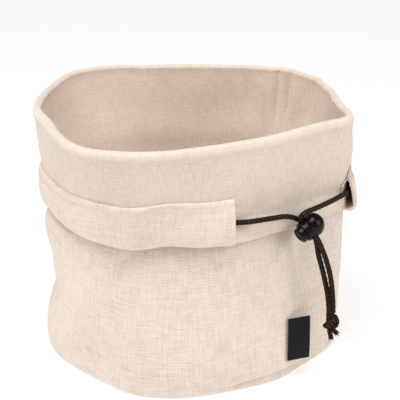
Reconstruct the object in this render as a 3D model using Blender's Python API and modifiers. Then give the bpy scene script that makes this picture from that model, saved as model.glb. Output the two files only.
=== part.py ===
"""Bread bag of natural linen and cotton canvas, standing open with its top folded out as a cuff.

A round base is sewn to one wall of cloth. The wall rises to the rim, folds outwards and hangs down
again as the cuff. A drawstring casing runs round the cuff's lower half, with a gap at the front right,
where both ends of the cord come out, pass through a ball-shaped cord lock and end in one knot.

Units are metres, with +Z up. The origin is on the floor under the middle of the bag, and the bag's
front faces -Y. A direction round the bag is in degrees from the front, growing towards +X.
"""

import math

import bmesh
import bpy
import numpy as np
from mathutils import Matrix, Vector

MM = 0.001

# Cloth
CLOTH = 1.0 * MM
GAP = 0.3 * MM
COLUMNS = 64

# Heights above the floor
HEIGHT = 142 * MM
FOLD_RADIUS = 1.5 * MM
FOLD_CENTRE = HEIGHT - CLOTH / 2 - FOLD_RADIUS
SHOULDER = 88 * MM
WAIST = 45 * MM
BELLY = 13 * MM
BELLY_OUT = 1.0 * MM
BASE_RIM = 5.0 * MM
BASE_CORNER = 2.5 * MM
WALL_LEVELS = (2.2, 5, 10, 17, 25, 33, 41, 50, 60, 70, 80, 88, 100, 114, 128)
CUFF_SHARES = (0.22, 0.42, 0.6, 0.74, 0.86, 1.0)

# Plan of the bag, a row for each direction, distances in mm from the middle to the outside of the
# cloth: the rim, the cuff's hem, the body at its waist and the base. Lift is the clear space between
# the hem and the body. Drop and sag are how far the hem and the casing's top hang below their means.
HEM_HEIGHT = 87.5 * MM
PLAN_COLUMNS = ("direction", "rim", "hem", "lift", "drop", "sag", "waist", "base")
PLAN = (
    (-165, 90.0, 86.0, 1.5, 0.0, 0.0, 83.0, 84.0),
    (-150, 99.0, 89.5, 1.8, 0.5, 0.0, 84.5, 84.5),
    (-135, 102.5, 90.0, 2.0, 0.5, 0.5, 86.0, 84.5),
    (-115, 93.0, 86.4, 1.5, 0.0, 1.8, 83.5, 84.0),
    (-90, 89.5, 85.0, 0.5, 0.2, 2.6, 80.8, 84.3),
    (-72, 85.0, 82.4, 1.0, 0.6, 3.3, 80.5, 82.8),
    (-55, 89.5, 81.5, 3.0, 2.5, 3.4, 80.5, 80.6),
    (-38, 96.0, 84.0, 3.5, 2.0, 0.9, 82.0, 81.3),
    (-22, 91.5, 84.5, 4.0, 1.6, 1.2, 83.0, 86.4),
    (-10, 84.5, 80.0, 4.5, -0.7, -1.0, 81.0, 85.6),
    (5, 76.5, 76.5, 4.0, 1.0, 0.0, 78.0, 81.5),
    (22, 71.5, 74.5, 1.8, 0.9, 0.5, 76.0, 78.0),
    (40, 71.5, 72.0, 1.2, 0.8, 0.0, 75.0, 77.8),
    (55, 73.5, 75.5, 2.0, 0.4, 0.0, 75.0, 76.2),
    (67, 80.0, 81.5, 1.8, 0.3, 0.0, 79.0, 78.3),
    (78, 90.5, 88.0, 0.8, 0.5, 0.0, 84.0, 82.0),
    (93, 86.0, 90.0, 0.6, 0.0, 0.0, 86.9, 83.5),
    (110, 88.5, 86.5, 1.5, 0.0, 0.0, 84.5, 84.0),
    (143, 98.0, 91.0, 2.0, 0.5, 0.0, 87.0, 85.0),
    (165, 90.0, 88.0, 1.5, 0.0, 0.0, 84.5, 84.0),
)

# Soft ridges and troughs of the cloth: where the middle of each is, its half length and half width in
# mm, the lean of its long side from upright in degrees (positive leans to the right at the top) and
# how far it stands out (negative goes in).
FOLD_FADE = 12 * MM
FOLD_COLUMNS = ("direction", "height", "length", "width", "lean", "depth")
BODY_FOLDS = (
    (-88, 36, 24, 7.5, 90, -3.6),
    (-85, 72, 26, 13, 90, 3.6),
    (-62, 62, 22, 9, 10, 1.2),
    (-29, 74, 15, 5, 38, -1.8),
    (-40, 60, 16, 8, 40, 0.8),
    (47, 70, 24, 4, 3, 1.2),
    (56, 72, 17, 5, 5, -2.2),
    (66, 58, 22, 6, 0, 0.8),
    (45, 43, 6, 3, 60, -1.0),
    (130, 55, 26, 9, 8, -1.6),
    (172, 48, 24, 8, -10, -1.5),
    (-140, 60, 24, 9, 12, -1.8),
)
TOP_FOLDS = (
    (31, 103, 6, 5, 0, -1.0),
    (0, 119, 9, 4, 0, -0.7),
    (137, 126, 26, 4, -6, -1.5),
    (148, 130, 24, 4, 4, -1.3),
    (101, 128, 20, 4, 0, -1.2),
    (86, 120, 12, 14, 0, 1.8),
    (-98, 125, 22, 5, 6, -1.2),
    (-160, 122, 24, 6, 0, -1.4),
)

# The drawn cord's shallow groove round the cuff
GROOVE_HEIGHT = 98 * MM
GROOVE_HALF_WIDTH = 10 * MM
GROOVE_DEPTH = 2.2 * MM

# Drawstring casing, from its front end leftwards round the back to its right end
CASING_TOP = 112 * MM
CASING_START = 17.6
CASING_END = -282.0
CASING_END_LEAN = 12.0
LEAN_FROM = 0.6
CASING_SHARES = (0, 0.1, 0.24, 0.4, 0.55, 0.7, 0.86, 1)
ARCH_POWER = 2.4
TUNNEL = 3.8 * MM
MOUTH = 7.6 * MM
MOUTH_TOP = 0.72
MOUTH_POWER = 0.8
MOUTH_REACH = 12.0
END_CLEAR = 0.5 * MM
CASING_COLUMNS = 52

# Cord and its lock
CORD_DIAMETER = 3.0 * MM
CORD_LEFT_HEIGHT = 98.2 * MM
CORD_RIGHT_HEIGHT = 96.2 * MM
CORD_INSIDE_FROM = 9.0
CORD_INSIDE_TO = -270.0
BALL_RADIUS = 6.8 * MM
LOCK_CENTRE = Vector((65.8, -52.4, 90.0)) * MM
PLUNGER_AXIS = Vector((-0.734, -0.458, -0.502)).normalized()
HOLE_AXIS = Vector((0.65, -0.26, -0.714))
COLLAR_RADIUS = 5.8 * MM
COLLAR_END = 6.8 * MM
PLUNGER_RADIUS = 4.5 * MM
PLUNGER_END = 10.4 * MM
PLUNGER_INNER = -0.5 * MM
TRAVEL = 1.6 * MM
BORE_RADIUS = PLUNGER_RADIUS + GAP
BORE_BOTTOM = PLUNGER_INNER - TRAVEL - GAP
HOLE_OFFSET = 3.4 * MM
HOLE_REACH = (-6.8, -2.5, 2.5, 7.0)
HOLE_HALF_WIDTH = 3.5 * MM
HOLE_HALF_HEIGHT = 1.8 * MM
HOLE_CORNER = 1.2 * MM
STRAND_OFFSET = 1.65 * MM
COLLAR_START = 1.0 * MM
PLUNGER_CORNER = 1.3 * MM

# Knot: turns of cord as rings (turn about Z and tilt in degrees, radius in mm) and the two tails
# (start and end from the knot's middle in mm)
KNOT_CENTRE = Vector((77.9, -48.6, 30.8)) * MM
KNOT_RADIUS = 4.4 * MM
KNOT_TURNS = {"turn_a": (24, 62, 3.4), "turn_b": (-38, 78, 3.2), "turn_c": (80, 50, 3.4)}
KNOT_TAILS = {
    "tail_a": ((-1.0, 0.0, -1.5), (0.6, -1.0, -12.2)),
    "tail_b": ((1.4, 0.0, -1.5), (3.6, 0.6, -9.2)),
}
TAIL_DIAMETER = 3.1 * MM

# Routes of the free cords in mm, chosen by eye. Each begins inside the casing's end, bends into the
# lock, runs straight through its hole and hangs down to the knot.
LEFT_BEFORE_LOCK = ((31.1, -69.0, 98.2), (42.0, -63.3, 97.8), (51.3, -56.9, 96.6))
LEFT_AFTER_LOCK = ((69.7, -53.6, 72.2), (72.8, -52.0, 60.3), (75.3, -50.3, 47.5), (76.2, -49.3, 36.6))
RIGHT_BEFORE_LOCK = ((86.6, -21.0, 97.4), (78.6, -35.0, 98.3), (69.4, -48.2, 99.0), (61.0, -57.2, 98.6))
RIGHT_AFTER_LOCK = ((72.3, -56.4, 74.6), (76.0, -54.4, 61.9), (78.4, -51.2, 47.9), (79.3, -48.6, 36.6))

# Label in the side seam, which leans to the right as it rises
LABEL_DIRECTION = 42.6
LABEL_LEAN = 1.9
LABEL_TURN = 24.0
LABEL_WIDTH = 12.7 * MM
LABEL_BOTTOM = 11.7 * MM
LABEL_TOP = 36.2 * MM

# Colours, linear
CANVAS = (0.80, 0.71, 0.60)
CORD_BROWN = (0.022, 0.012, 0.007)
BLACK_PLASTIC = (0.008, 0.006, 0.005)
LABEL_BLACK = (0.004, 0.004, 0.004)


def smooth_between(knots, values, at):
    """Cubic curve through the values at the knots, with each inner slope taken from both neighbours."""
    knots = np.asarray(knots, float)
    steps = np.diff(knots)
    rises = np.diff(values, axis=0) / steps.reshape(-1, *[1] * (values.ndim - 1))
    slopes = np.concatenate([rises[:1], (rises[1:] + rises[:-1]) / 2, rises[-1:]])
    span = np.clip(np.searchsorted(knots, at, side="right") - 1, 0, len(steps) - 1)
    t = (at - knots[span]) / steps[span]
    width = steps[span]
    if values.ndim > 1:
        t, width = np.asarray(t)[..., None], np.asarray(width)[..., None]
    return (
        (2 * t**3 - 3 * t**2 + 1) * values[span]
        + (t**3 - 2 * t**2 + t) * width * slopes[span]
        + (3 * t**2 - 2 * t**3) * values[span + 1]
        + (t**3 - t**2) * width * slopes[span + 1]
    )


def plan(column, direction):
    """One column of PLAN in metres, as a smooth closed curve over the direction."""
    index = PLAN_COLUMNS.index(column)
    knots = np.array([row[0] + turn for turn in (-360, 0, 360) for row in PLAN])
    values = np.array([row[index] for row in PLAN] * 3) * MM
    wrapped = (np.asarray(direction, float) + 180) % 360 - 180
    return smooth_between(knots, values, wrapped)


def folds(table, direction, height):
    """How far the soft ridges and troughs of a table push the cloth out, each a round-ended bump."""
    total = np.zeros(np.broadcast(direction, height).shape)
    for row in table:
        fold = dict(zip(FOLD_COLUMNS, row))
        turn = (direction - fold["direction"] + 180) % 360 - 180
        across = np.radians(turn) * plan("waist", fold["direction"])
        rise = height - fold["height"] * MM
        lean = math.radians(fold["lean"])
        along = rise * math.cos(lean) + across * math.sin(lean)
        aside = across * math.cos(lean) - rise * math.sin(lean)
        reach = (along / (fold["length"] * MM)) ** 2 + (aside / (fold["width"] * MM)) ** 2
        total += fold["depth"] * MM * np.exp(-reach)
    return total


def eased(share):
    """A share from 0 to 1 with a soft start and end."""
    share = np.clip(share, 0, 1)
    return share * share * (3 - 2 * share)


def hem_height(direction):
    return HEM_HEIGHT - plan("drop", direction)


def casing_top(direction):
    return CASING_TOP - plan("sag", direction)


def cuff_radius(direction, height):
    """Middle of the cuff's cloth: from the rim down to the hem, with the top's folds."""
    share = (FOLD_CENTRE - height) / (FOLD_CENTRE - HEM_HEIGHT)
    straight = plan("rim", direction) + (plan("hem", direction) - plan("rim", direction)) * share
    groove = GROOVE_DEPTH * np.exp(-(((height - GROOVE_HEIGHT) / GROOVE_HALF_WIDTH) ** 2))
    return straight - CLOTH / 2 - groove + folds(TOP_FOLDS, direction, height)


def body_radius(direction, height):
    """Middle of the body's cloth at one height: from inside the base's rim up to the fold."""
    if height > SHOULDER:
        share = eased((height - SHOULDER) / (FOLD_CENTRE - SHOULDER))
        spacing = (plan("lift", direction) + CLOTH) * (1 - share) + 2 * FOLD_RADIUS * share
        return cuff_radius(direction, height) - spacing
    foot = plan("base", direction) - 1.5 * CLOTH - GAP
    belly = plan("base", direction) - CLOTH / 2 + BELLY_OUT
    waist = plan("waist", direction) - CLOTH / 2
    shoulder = cuff_radius(direction, SHOULDER) - plan("lift", direction) - CLOTH
    sections = np.array([foot, belly, waist, shoulder])
    radius = smooth_between((BASE_RIM, BELLY, WAIST, SHOULDER), sections, max(height, BASE_RIM))
    under_cuff = eased((height - SHOULDER + FOLD_FADE) / FOLD_FADE)
    return radius + folds(BODY_FOLDS, direction, height) * (1 - under_cuff)


def around(direction, radius, height):
    """Points at a direction, a distance from the middle and a height, as an array of x, y, z."""
    turn = np.radians(direction)
    return np.stack(np.broadcast_arrays(radius * np.sin(turn), -radius * np.cos(turn), height), axis=-1)


def finish(name, mesh, material):
    """Puts a mesh in the bag's collection as an object with its material, shaded smooth."""
    made = bpy.data.objects.new(name, mesh)
    mesh.materials.append(material)
    mesh.shade_smooth()
    mesh.set_sharp_from_angle(angle=math.radians(50))
    parts.objects.link(made)
    return made


def sheet(name, grid, closed, thickness, material, cap=False):
    """A cloth through a grid of middle points, rows by columns, thickened equally to both sides.

    A closed sheet joins its last column to its first. A cap fills the first row with one flat face.
    """
    rows, columns = grid.shape[:2]
    index = np.arange(rows * columns).reshape(rows, columns)
    if closed:
        index = np.concatenate([index, index[:, :1]], axis=1)
    quads = np.stack([index[:-1, :-1], index[:-1, 1:], index[1:, 1:], index[1:, :-1]], axis=-1).reshape(-1, 4)
    faces = quads.tolist()
    if cap:
        faces.append(index[0, :-1][::-1].tolist())
    mesh = bpy.data.meshes.new(name)
    mesh.from_pydata(grid.reshape(-1, 3).tolist(), [], faces)
    made = finish(name, mesh, material)
    solid = made.modifiers.new("thickness", "SOLIDIFY")
    solid.thickness = thickness
    solid.offset = 0
    return made


def principled(name, colour, roughness, sheen=0.0):
    material = bpy.data.materials.new(name)
    material.use_nodes = True
    shader = material.node_tree.nodes["Principled BSDF"]
    shader.inputs["Base Color"].default_value = (*colour, 1)
    shader.inputs["Roughness"].default_value = roughness
    shader.inputs["Sheen Weight"].default_value = sheen
    material.diffuse_color = (*colour, 1)
    return material


def wall():
    """The wall's cloth: up the body, over the fold at the rim and down the cuff to its hem."""
    direction = np.arange(COLUMNS) * 360 / COLUMNS
    rows = []
    for height in WALL_LEVELS:
        rows.append(around(direction, body_radius(direction, height * MM), height * MM))
    outer = cuff_radius(direction, FOLD_CENTRE)
    for turn in np.radians((180, 135, 90, 45, 0)):
        radius = outer - FOLD_RADIUS + FOLD_RADIUS * math.cos(turn)
        rows.append(around(direction, radius, FOLD_CENTRE + FOLD_RADIUS * math.sin(turn)))
    hem = hem_height(direction)
    for share in CUFF_SHARES:
        height = FOLD_CENTRE + (hem - FOLD_CENTRE) * share
        rows.append(around(direction, cuff_radius(direction, height), height))
    return sheet("wall", np.array(rows), True, CLOTH, canvas)


def base():
    """The base: a flat round of cloth, turned up round the wall's lower edge."""
    direction = np.arange(COLUMNS) * 360 / COLUMNS
    edge = plan("base", direction) - CLOTH / 2
    bend = BASE_CORNER - CLOTH / 2
    rows = [around(direction, edge - bend, CLOTH / 2)]
    for turn in np.radians((30, 60, 90)):
        radius = edge - bend + bend * math.sin(turn)
        rows.append(around(direction, radius, CLOTH / 2 + bend * (1 - math.cos(turn))))
    rows.append(around(direction, edge, BASE_RIM))
    return sheet("base", np.array(rows), True, CLOTH, canvas, cap=True)


def cord_height(direction):
    """Height of the cord inside the casing, falling evenly from the front end to the right end."""
    share = (direction - CASING_START) / (CASING_END - CASING_START)
    return CORD_LEFT_HEIGHT + (CORD_RIGHT_HEIGHT - CORD_LEFT_HEIGHT) * share


def casing_end(share):
    """Direction of the casing's right end, which leans back above LEAN_FROM."""
    return CASING_END + CASING_END_LEAN * max(0, share - LEAN_FROM) / (1 - LEAN_FROM)


def casing_stand(direction, share):
    """Clear space between the casing and the cuff: an arch over the cord, which turns into a mouth that
    widens downwards at the right end."""
    low = hem_height(direction)
    middle = (cord_height(direction) - low) / (casing_top(direction) - low)
    from_middle = np.where(share < middle, (middle - share) / middle, (share - middle) / (1 - middle))
    arch = (TUNNEL - GAP) * (1 - from_middle**ARCH_POWER)
    mouth = MOUTH * max(0, 1 - share / MOUTH_TOP) ** MOUTH_POWER
    near_end = np.exp(-(((direction - casing_end(share)) / MOUTH_REACH) ** 2))
    return GAP + arch * (1 - near_end) + (mouth + END_CLEAR) * near_end


def casing():
    """The drawstring casing: a band sewn to the cuff at both edges, open at both ends."""
    along = np.linspace(0, 1, CASING_COLUMNS)
    rows = []
    for share in CASING_SHARES:
        direction = CASING_START + (casing_end(share) - CASING_START) * along
        low = hem_height(direction)
        height = low + (casing_top(direction) - low) * share
        outside = cuff_radius(direction, height) + CLOTH / 2
        rows.append(around(direction, outside + casing_stand(direction, share) + CLOTH / 2, height))
    return sheet("casing", np.array(rows)[:, ::-1], False, CLOTH, canvas)


def smooth_route(points):
    """A smooth curve through the given points, read at each of them and half way between."""
    points = np.array(points)
    chords = np.linalg.norm(np.diff(points, axis=0), axis=1)
    knots = np.concatenate([[0], np.cumsum(np.sqrt(chords))])
    halfway = (knots[1:] + knots[:-1]) / 2
    return smooth_between(knots, points, np.sort(np.concatenate([knots, halfway])))


def cord(name, points):
    """A round tube along the points, closed at both ends."""
    curve = bpy.data.curves.new(name, "CURVE")
    curve.dimensions = "3D"
    curve.bevel_depth = CORD_DIAMETER / 2
    curve.bevel_resolution = 2
    curve.use_fill_caps = True
    spline = curve.splines.new("POLY")
    spline.points.add(len(points) - 1)
    for point, place in zip(spline.points, points):
        point.co = (*place, 1)
    curve.materials.append(braid)
    parts.objects.link(bpy.data.objects.new(name, curve))


def cord_inside():
    """The cord's stretch in the casing, with a point at each column of the wall's cloth."""
    column = np.arange(0, CORD_INSIDE_TO, -360 / COLUMNS)
    direction = np.concatenate([[CORD_INSIDE_FROM], column, [CORD_INSIDE_TO]])
    cord("cord_inside", along_casing(direction))


def along_casing(direction):
    height = cord_height(direction)
    outside = cuff_radius(direction, height) + CLOTH / 2
    return around(direction, outside + TUNNEL / 2, height)


def through_hole(side):
    """Places along the lock's hole at each of HOLE_REACH (mm), in front (side 1) or behind (side -1)."""
    across = PLUNGER_AXIS.cross(HOLE_AXIS).normalized() * STRAND_OFFSET * side
    return [
        LOCK_CENTRE + PLUNGER_AXIS * HOLE_OFFSET + across + HOLE_AXIS * reach * MM
        for reach in HOLE_REACH
    ]


def free_cords():
    """The two runs of cord that come out of the casing, from just inside its ends to the knot."""
    gap = math.degrees(GAP / plan("hem", 0))
    left_in = along_casing(np.array([CORD_INSIDE_FROM + gap, CASING_START - 4, CASING_START]))
    right_in = along_casing(np.array([CORD_INSIDE_TO - gap, CASING_END + 5, CASING_END]))
    left = [*left_in, *(Vector(p) * MM for p in LEFT_BEFORE_LOCK), *through_hole(-1)]
    left += [Vector(p) * MM for p in LEFT_AFTER_LOCK]
    right = [*right_in, *(Vector(p) * MM for p in RIGHT_BEFORE_LOCK), *through_hole(1)]
    right += [Vector(p) * MM for p in RIGHT_AFTER_LOCK]
    cord("cord_left", smooth_route(left))
    cord("cord_right", smooth_route(right))


def lock_frame():
    """Place of the lock: local Z along the plunger, local X along the hole, from the ball's middle."""
    side = PLUNGER_AXIS.cross(HOLE_AXIS).normalized()
    hole = side.cross(PLUNGER_AXIS).normalized()
    turn = Matrix((hole, side, PLUNGER_AXIS)).transposed().to_4x4()
    return Matrix.Translation(LOCK_CENTRE) @ turn


def solid_mesh(name, build):
    """A mesh made by one bmesh function."""
    mesh = bpy.data.meshes.new(name)
    shape = bmesh.new()
    build(shape)
    shape.to_mesh(mesh)
    shape.free()
    return mesh


def barrel(radius, low, high, segments=24):
    """A closed cylinder along local Z."""
    def build(shape):
        bmesh.ops.create_cone(
            shape, cap_ends=True, segments=segments, radius1=radius, radius2=radius, depth=high - low,
            matrix=Matrix.Translation((0, 0, (low + high) / 2)),
        )
    return build


def cutter(name, mesh, place):
    made = bpy.data.objects.new(name, mesh)
    made.matrix_world = place
    made.hide_render = True
    made.display_type = "WIRE"
    cutters.objects.link(made)
    return made


def boolean(target, operation, other):
    step = target.modifiers.new(other.name, "BOOLEAN")
    step.operation = operation
    step.object = other


def hole_block(low, high):
    """A rounded bar along the hole, from low to high along the plunger."""
    def build(shape):
        bmesh.ops.create_cube(shape, size=1)
        size = Vector((4 * BALL_RADIUS, 2 * HOLE_HALF_WIDTH, high - low))
        bmesh.ops.scale(shape, vec=size, verts=shape.verts)
        bmesh.ops.translate(shape, vec=(0, 0, (low + high) / 2), verts=shape.verts)
        edges = [e for e in shape.edges if abs((e.verts[0].co - e.verts[1].co).x) > BALL_RADIUS]
        bmesh.ops.bevel(shape, geom=edges, offset=HOLE_CORNER, segments=3, profile=0.5, affect="EDGES")
    return build


def lock():
    """The cord lock: a ball with a collar, a bore and a hole for the cord, and its spring plunger."""
    place = lock_frame()
    ball = finish("lock_ball", solid_mesh("lock_ball", lambda shape: bmesh.ops.create_uvsphere(
        shape, u_segments=24, v_segments=14, radius=BALL_RADIUS)), black)
    ball.matrix_world = place
    collar = cutter("collar", solid_mesh("collar", barrel(COLLAR_RADIUS, COLLAR_START, COLLAR_END)), place)
    bore = cutter("bore", solid_mesh("bore", barrel(BORE_RADIUS, BORE_BOTTOM, 2 * BALL_RADIUS)), place)
    low, high = HOLE_OFFSET - HOLE_HALF_HEIGHT, HOLE_OFFSET + HOLE_HALF_HEIGHT
    hole = cutter("ball_hole", solid_mesh("ball_hole", hole_block(low, high)), place)
    boolean(ball, "UNION", collar)
    boolean(ball, "DIFFERENCE", bore)
    boolean(ball, "DIFFERENCE", hole)

    plunger = finish("lock_plunger", solid_mesh("lock_plunger", plunger_shape), black)
    plunger.matrix_world = place
    window = cutter("plunger_hole", solid_mesh("plunger_hole", hole_block(low, high + TRAVEL)), place)
    boolean(plunger, "DIFFERENCE", window)


def plunger_shape(shape):
    """A cylinder along local Z with a rounded outer end."""
    barrel(PLUNGER_RADIUS, PLUNGER_INNER, PLUNGER_END)(shape)
    edges = [e for e in shape.edges if all(v.co.z > PLUNGER_END - 0.1 * MM for v in e.verts)]
    bmesh.ops.bevel(shape, geom=edges, offset=PLUNGER_CORNER, segments=3, profile=0.5, affect="EDGES")


def ring(name, place, radius):
    """A closed ring of cord round local Z, as a cutter."""
    along, across = np.meshgrid(
        np.linspace(0, 2 * math.pi, 20, endpoint=False),
        np.linspace(0, 2 * math.pi, 8, endpoint=False),
        indexing="ij",
    )
    from_middle = radius + CORD_DIAMETER / 2 * np.cos(across)
    grid = np.stack(
        [from_middle * np.cos(along), from_middle * np.sin(along), CORD_DIAMETER / 2 * np.sin(across)], axis=-1
    )
    index = np.arange(along.size).reshape(along.shape)
    onward, aside = np.roll(index, -1, axis=0), np.roll(index, -1, axis=1)
    faces = np.stack([index, onward, np.roll(onward, -1, axis=1), aside], axis=-1).reshape(-1, 4)
    mesh = bpy.data.meshes.new(name)
    mesh.from_pydata(grid.reshape(-1, 3).tolist(), [], faces.tolist())
    return cutter(name, mesh, place)


def knot():
    """The overhand knot of the two cord ends: a core, crossed turns of cord and two short tails."""
    core = solid_mesh("knot", lambda shape: bmesh.ops.create_uvsphere(
        shape, u_segments=18, v_segments=12, radius=KNOT_RADIUS))
    made = finish("knot", core, braid)
    middle = Matrix.Translation(KNOT_CENTRE)
    made.matrix_world = middle
    for name, (about_z, tilt, radius) in KNOT_TURNS.items():
        turn = Matrix.Rotation(math.radians(about_z), 4, "Z") @ Matrix.Rotation(math.radians(tilt), 4, "X")
        boolean(made, "UNION", ring(name, middle @ turn, radius * MM))
    for name, (start, end) in KNOT_TAILS.items():
        along = (Vector(end) - Vector(start)) * MM
        turn = along.to_track_quat("Z", "Y").to_matrix().to_4x4()
        tail = solid_mesh(name, barrel(TAIL_DIAMETER / 2, 0, along.length, segments=10))
        place = middle @ Matrix.Translation(Vector(start) * MM) @ turn
        boolean(made, "UNION", cutter(name, tail, place))


def label():
    """The woven label, sewn in at its left edge and standing a little off the body at its right."""
    turn = math.radians(LABEL_TURN)
    along = np.linspace(0, LABEL_WIDTH, 4)[:, None] * np.array([math.cos(turn), math.sin(turn), 0])
    rows = []
    for share in np.linspace(0, 1, 6):
        direction = LABEL_DIRECTION + LABEL_LEAN * share
        height = LABEL_BOTTOM + (LABEL_TOP - LABEL_BOTTOM) * share
        outside = body_radius(direction, height) + CLOTH / 2
        rows.append(around(direction, outside + 2 * GAP + CLOTH / 2, height) + along)
    return sheet("label", np.array(rows), False, CLOTH, satin)


for old in list(bpy.data.objects):
    bpy.data.objects.remove(old)
parts = bpy.data.collections.new("linen_bread_bag")
cutters = bpy.data.collections.new("cutters")
bpy.context.scene.collection.children.link(parts)
bpy.context.scene.collection.children.link(cutters)

canvas = principled("natural_canvas", CANVAS, 0.9, 0.3)
braid = principled("braided_cord", CORD_BROWN, 0.8)
black = principled("moulded_black_plastic", BLACK_PLASTIC, 0.25)
satin = principled("woven_label", LABEL_BLACK, 0.6)

wall()
base()
casing()
cord_inside()
free_cords()
lock()
knot()
label()
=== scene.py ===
"""Canvas bread bag with a drawstring and a cord lock, dressed for its picture.

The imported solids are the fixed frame. Over them each cloth is worked out again as a finer surface,
with its seams, stitches and small creases, the cord is braided and tied, and the lock is moulded.

Units are metres, with +Z up. The bag's front faces -Y. A direction round the bag is in degrees from
the front, growing towards +X.
"""

import math

import bmesh
import bpy
import numpy as np
from bpy.props import FloatProperty, FloatVectorProperty, IntProperty, PointerProperty
from mathutils import Matrix, Vector


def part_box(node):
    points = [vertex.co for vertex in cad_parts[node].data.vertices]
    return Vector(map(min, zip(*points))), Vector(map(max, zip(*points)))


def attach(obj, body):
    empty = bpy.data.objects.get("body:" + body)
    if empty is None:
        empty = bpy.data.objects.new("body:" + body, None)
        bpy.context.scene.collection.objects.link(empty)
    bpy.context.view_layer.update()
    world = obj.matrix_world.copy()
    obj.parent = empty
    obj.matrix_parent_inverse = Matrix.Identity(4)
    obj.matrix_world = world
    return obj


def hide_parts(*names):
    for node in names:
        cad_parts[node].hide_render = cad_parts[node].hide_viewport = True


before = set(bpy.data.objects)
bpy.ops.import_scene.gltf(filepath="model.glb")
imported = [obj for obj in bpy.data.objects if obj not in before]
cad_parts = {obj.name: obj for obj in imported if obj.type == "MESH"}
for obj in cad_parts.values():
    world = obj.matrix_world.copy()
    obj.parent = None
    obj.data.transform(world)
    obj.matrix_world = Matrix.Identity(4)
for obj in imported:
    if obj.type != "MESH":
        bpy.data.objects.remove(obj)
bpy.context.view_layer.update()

bl_info = {
    "name": "Canvas bread bag",
    "version": (1, 0, 0),
    "blender": (4, 5, 0),
    "location": "View3D > Sidebar > Bread bag",
    "description": "Makes the cloth, cord, lock and label of a canvas bread bag over its packed solids",
    "category": "Object",
}

MM = 0.001
BAG = "bag"
PLUNGER = "plunger"

# The cloth, the fold at its rim and the heights above the floor where its forms lie
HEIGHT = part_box("wall")[1][2]
FOLD_RADIUS = 1.5 * MM
RIM_BULGE = 0.6 * MM
RIM_BULGE_DROP = 1.6 * MM
RIM_BULGE_REACH = 2.8 * MM
CLOTH = 1.0 * MM
HEM_STAND = 0.9 * MM
FOLD_CENTRE = HEIGHT - CLOTH / 2 - FOLD_RADIUS
SHOULDER = 88 * MM
WAIST = 45 * MM
BELLY = 13 * MM
BELLY_OUT = 1.0 * MM
HEM_HEIGHT = 87.5 * MM
CASING_TOP = 112 * MM
BASE_CORNER = 2.5 * MM
SEAM_ROLL = 0.9 * MM
FOOT_OUT = 0.7 * MM
BASE_TUCK = 1.3 * MM
BASE_OVERLAP = 0.9 * MM
BASE_LEAST_RISE = 0.2 * MM
FOOT_HEIGHT = 2.0 * MM

# Single cloth's share of the thickest cloth of its piece, where it is doubled
WALL_SINGLE = 0.6
CASING_SINGLE = 0.62
LINING_SINGLE = 0.4

# Rows of each stretch of a cloth, and how they crowd towards the rim
BODY_ROWS = 52
SHOULDER_ROWS = 14
FOLD_ROWS = 9
CUFF_ROWS = 38
RIM_CROWDING = 1.4
LINING_ROWS = 9
EDGE_ROWS = 6
FACE_ROWS = 26

# Plan of the bag, a row for each direction, distances in mm from the middle to the outside of the
# cloth: the rim, the cuff's hem, the body at its waist and the base. Lift is the clear space between
# the hem and the body, drop and sag are how far the hem and the casing's top hang below their means,
# and seam is the height of the base's seam.
PLAN_COLUMNS = ("direction", "rim", "hem", "lift", "drop", "sag", "waist", "base", "seam")
PLAN = (
    (-165, 90.0, 86.0, 1.5, 0.0, 0.0, 83.0, 84.0, 3.0),
    (-150, 99.0, 89.5, 1.8, 0.5, 0.0, 84.5, 84.5, 3.0),
    (-135, 102.5, 90.0, 2.0, 0.5, 0.5, 86.0, 84.5, 2.6),
    (-115, 93.0, 86.4, 1.5, 0.0, 1.8, 83.5, 84.0, 2.2),
    (-90, 89.5, 85.0, 0.5, 0.2, 2.6, 80.8, 84.3, 1.8),
    (-72, 85.0, 82.4, 1.0, 0.6, 3.3, 80.5, 82.8, 1.8),
    (-55, 89.5, 81.5, 3.0, 2.5, 3.4, 80.5, 80.6, 1.8),
    (-38, 96.0, 84.0, 3.5, 2.0, 0.9, 82.0, 81.3, 1.8),
    (-22, 91.5, 84.5, 4.0, 1.6, 1.2, 83.0, 86.4, 1.8),
    (-10, 84.5, 80.0, 4.5, -0.7, -1.0, 81.0, 85.6, 1.8),
    (5, 76.5, 76.5, 4.0, 1.0, 0.0, 78.0, 81.5, 1.8),
    (22, 71.5, 74.5, 1.8, 0.9, 0.5, 76.0, 78.0, 5.3),
    (40, 71.5, 72.0, 1.2, 0.8, 0.0, 75.0, 77.8, 6.8),
    (55, 73.5, 75.5, 2.0, 0.4, 0.0, 75.0, 76.2, 5.6),
    (67, 80.0, 81.5, 1.8, 0.3, 0.0, 79.0, 78.3, 3.2),
    (78, 90.5, 88.0, 0.8, 0.5, 0.0, 84.0, 82.0, 2.4),
    (93, 86.0, 90.0, 0.6, 0.0, 0.0, 86.9, 83.5, 2.4),
    (110, 88.5, 86.5, 1.5, 0.0, 0.0, 84.5, 84.0, 2.8),
    (143, 98.0, 91.0, 2.0, 0.5, 0.0, 87.0, 85.0, 3.0),
    (165, 90.0, 88.0, 1.5, 0.0, 0.0, 84.5, 84.0, 3.0),
)

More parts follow.
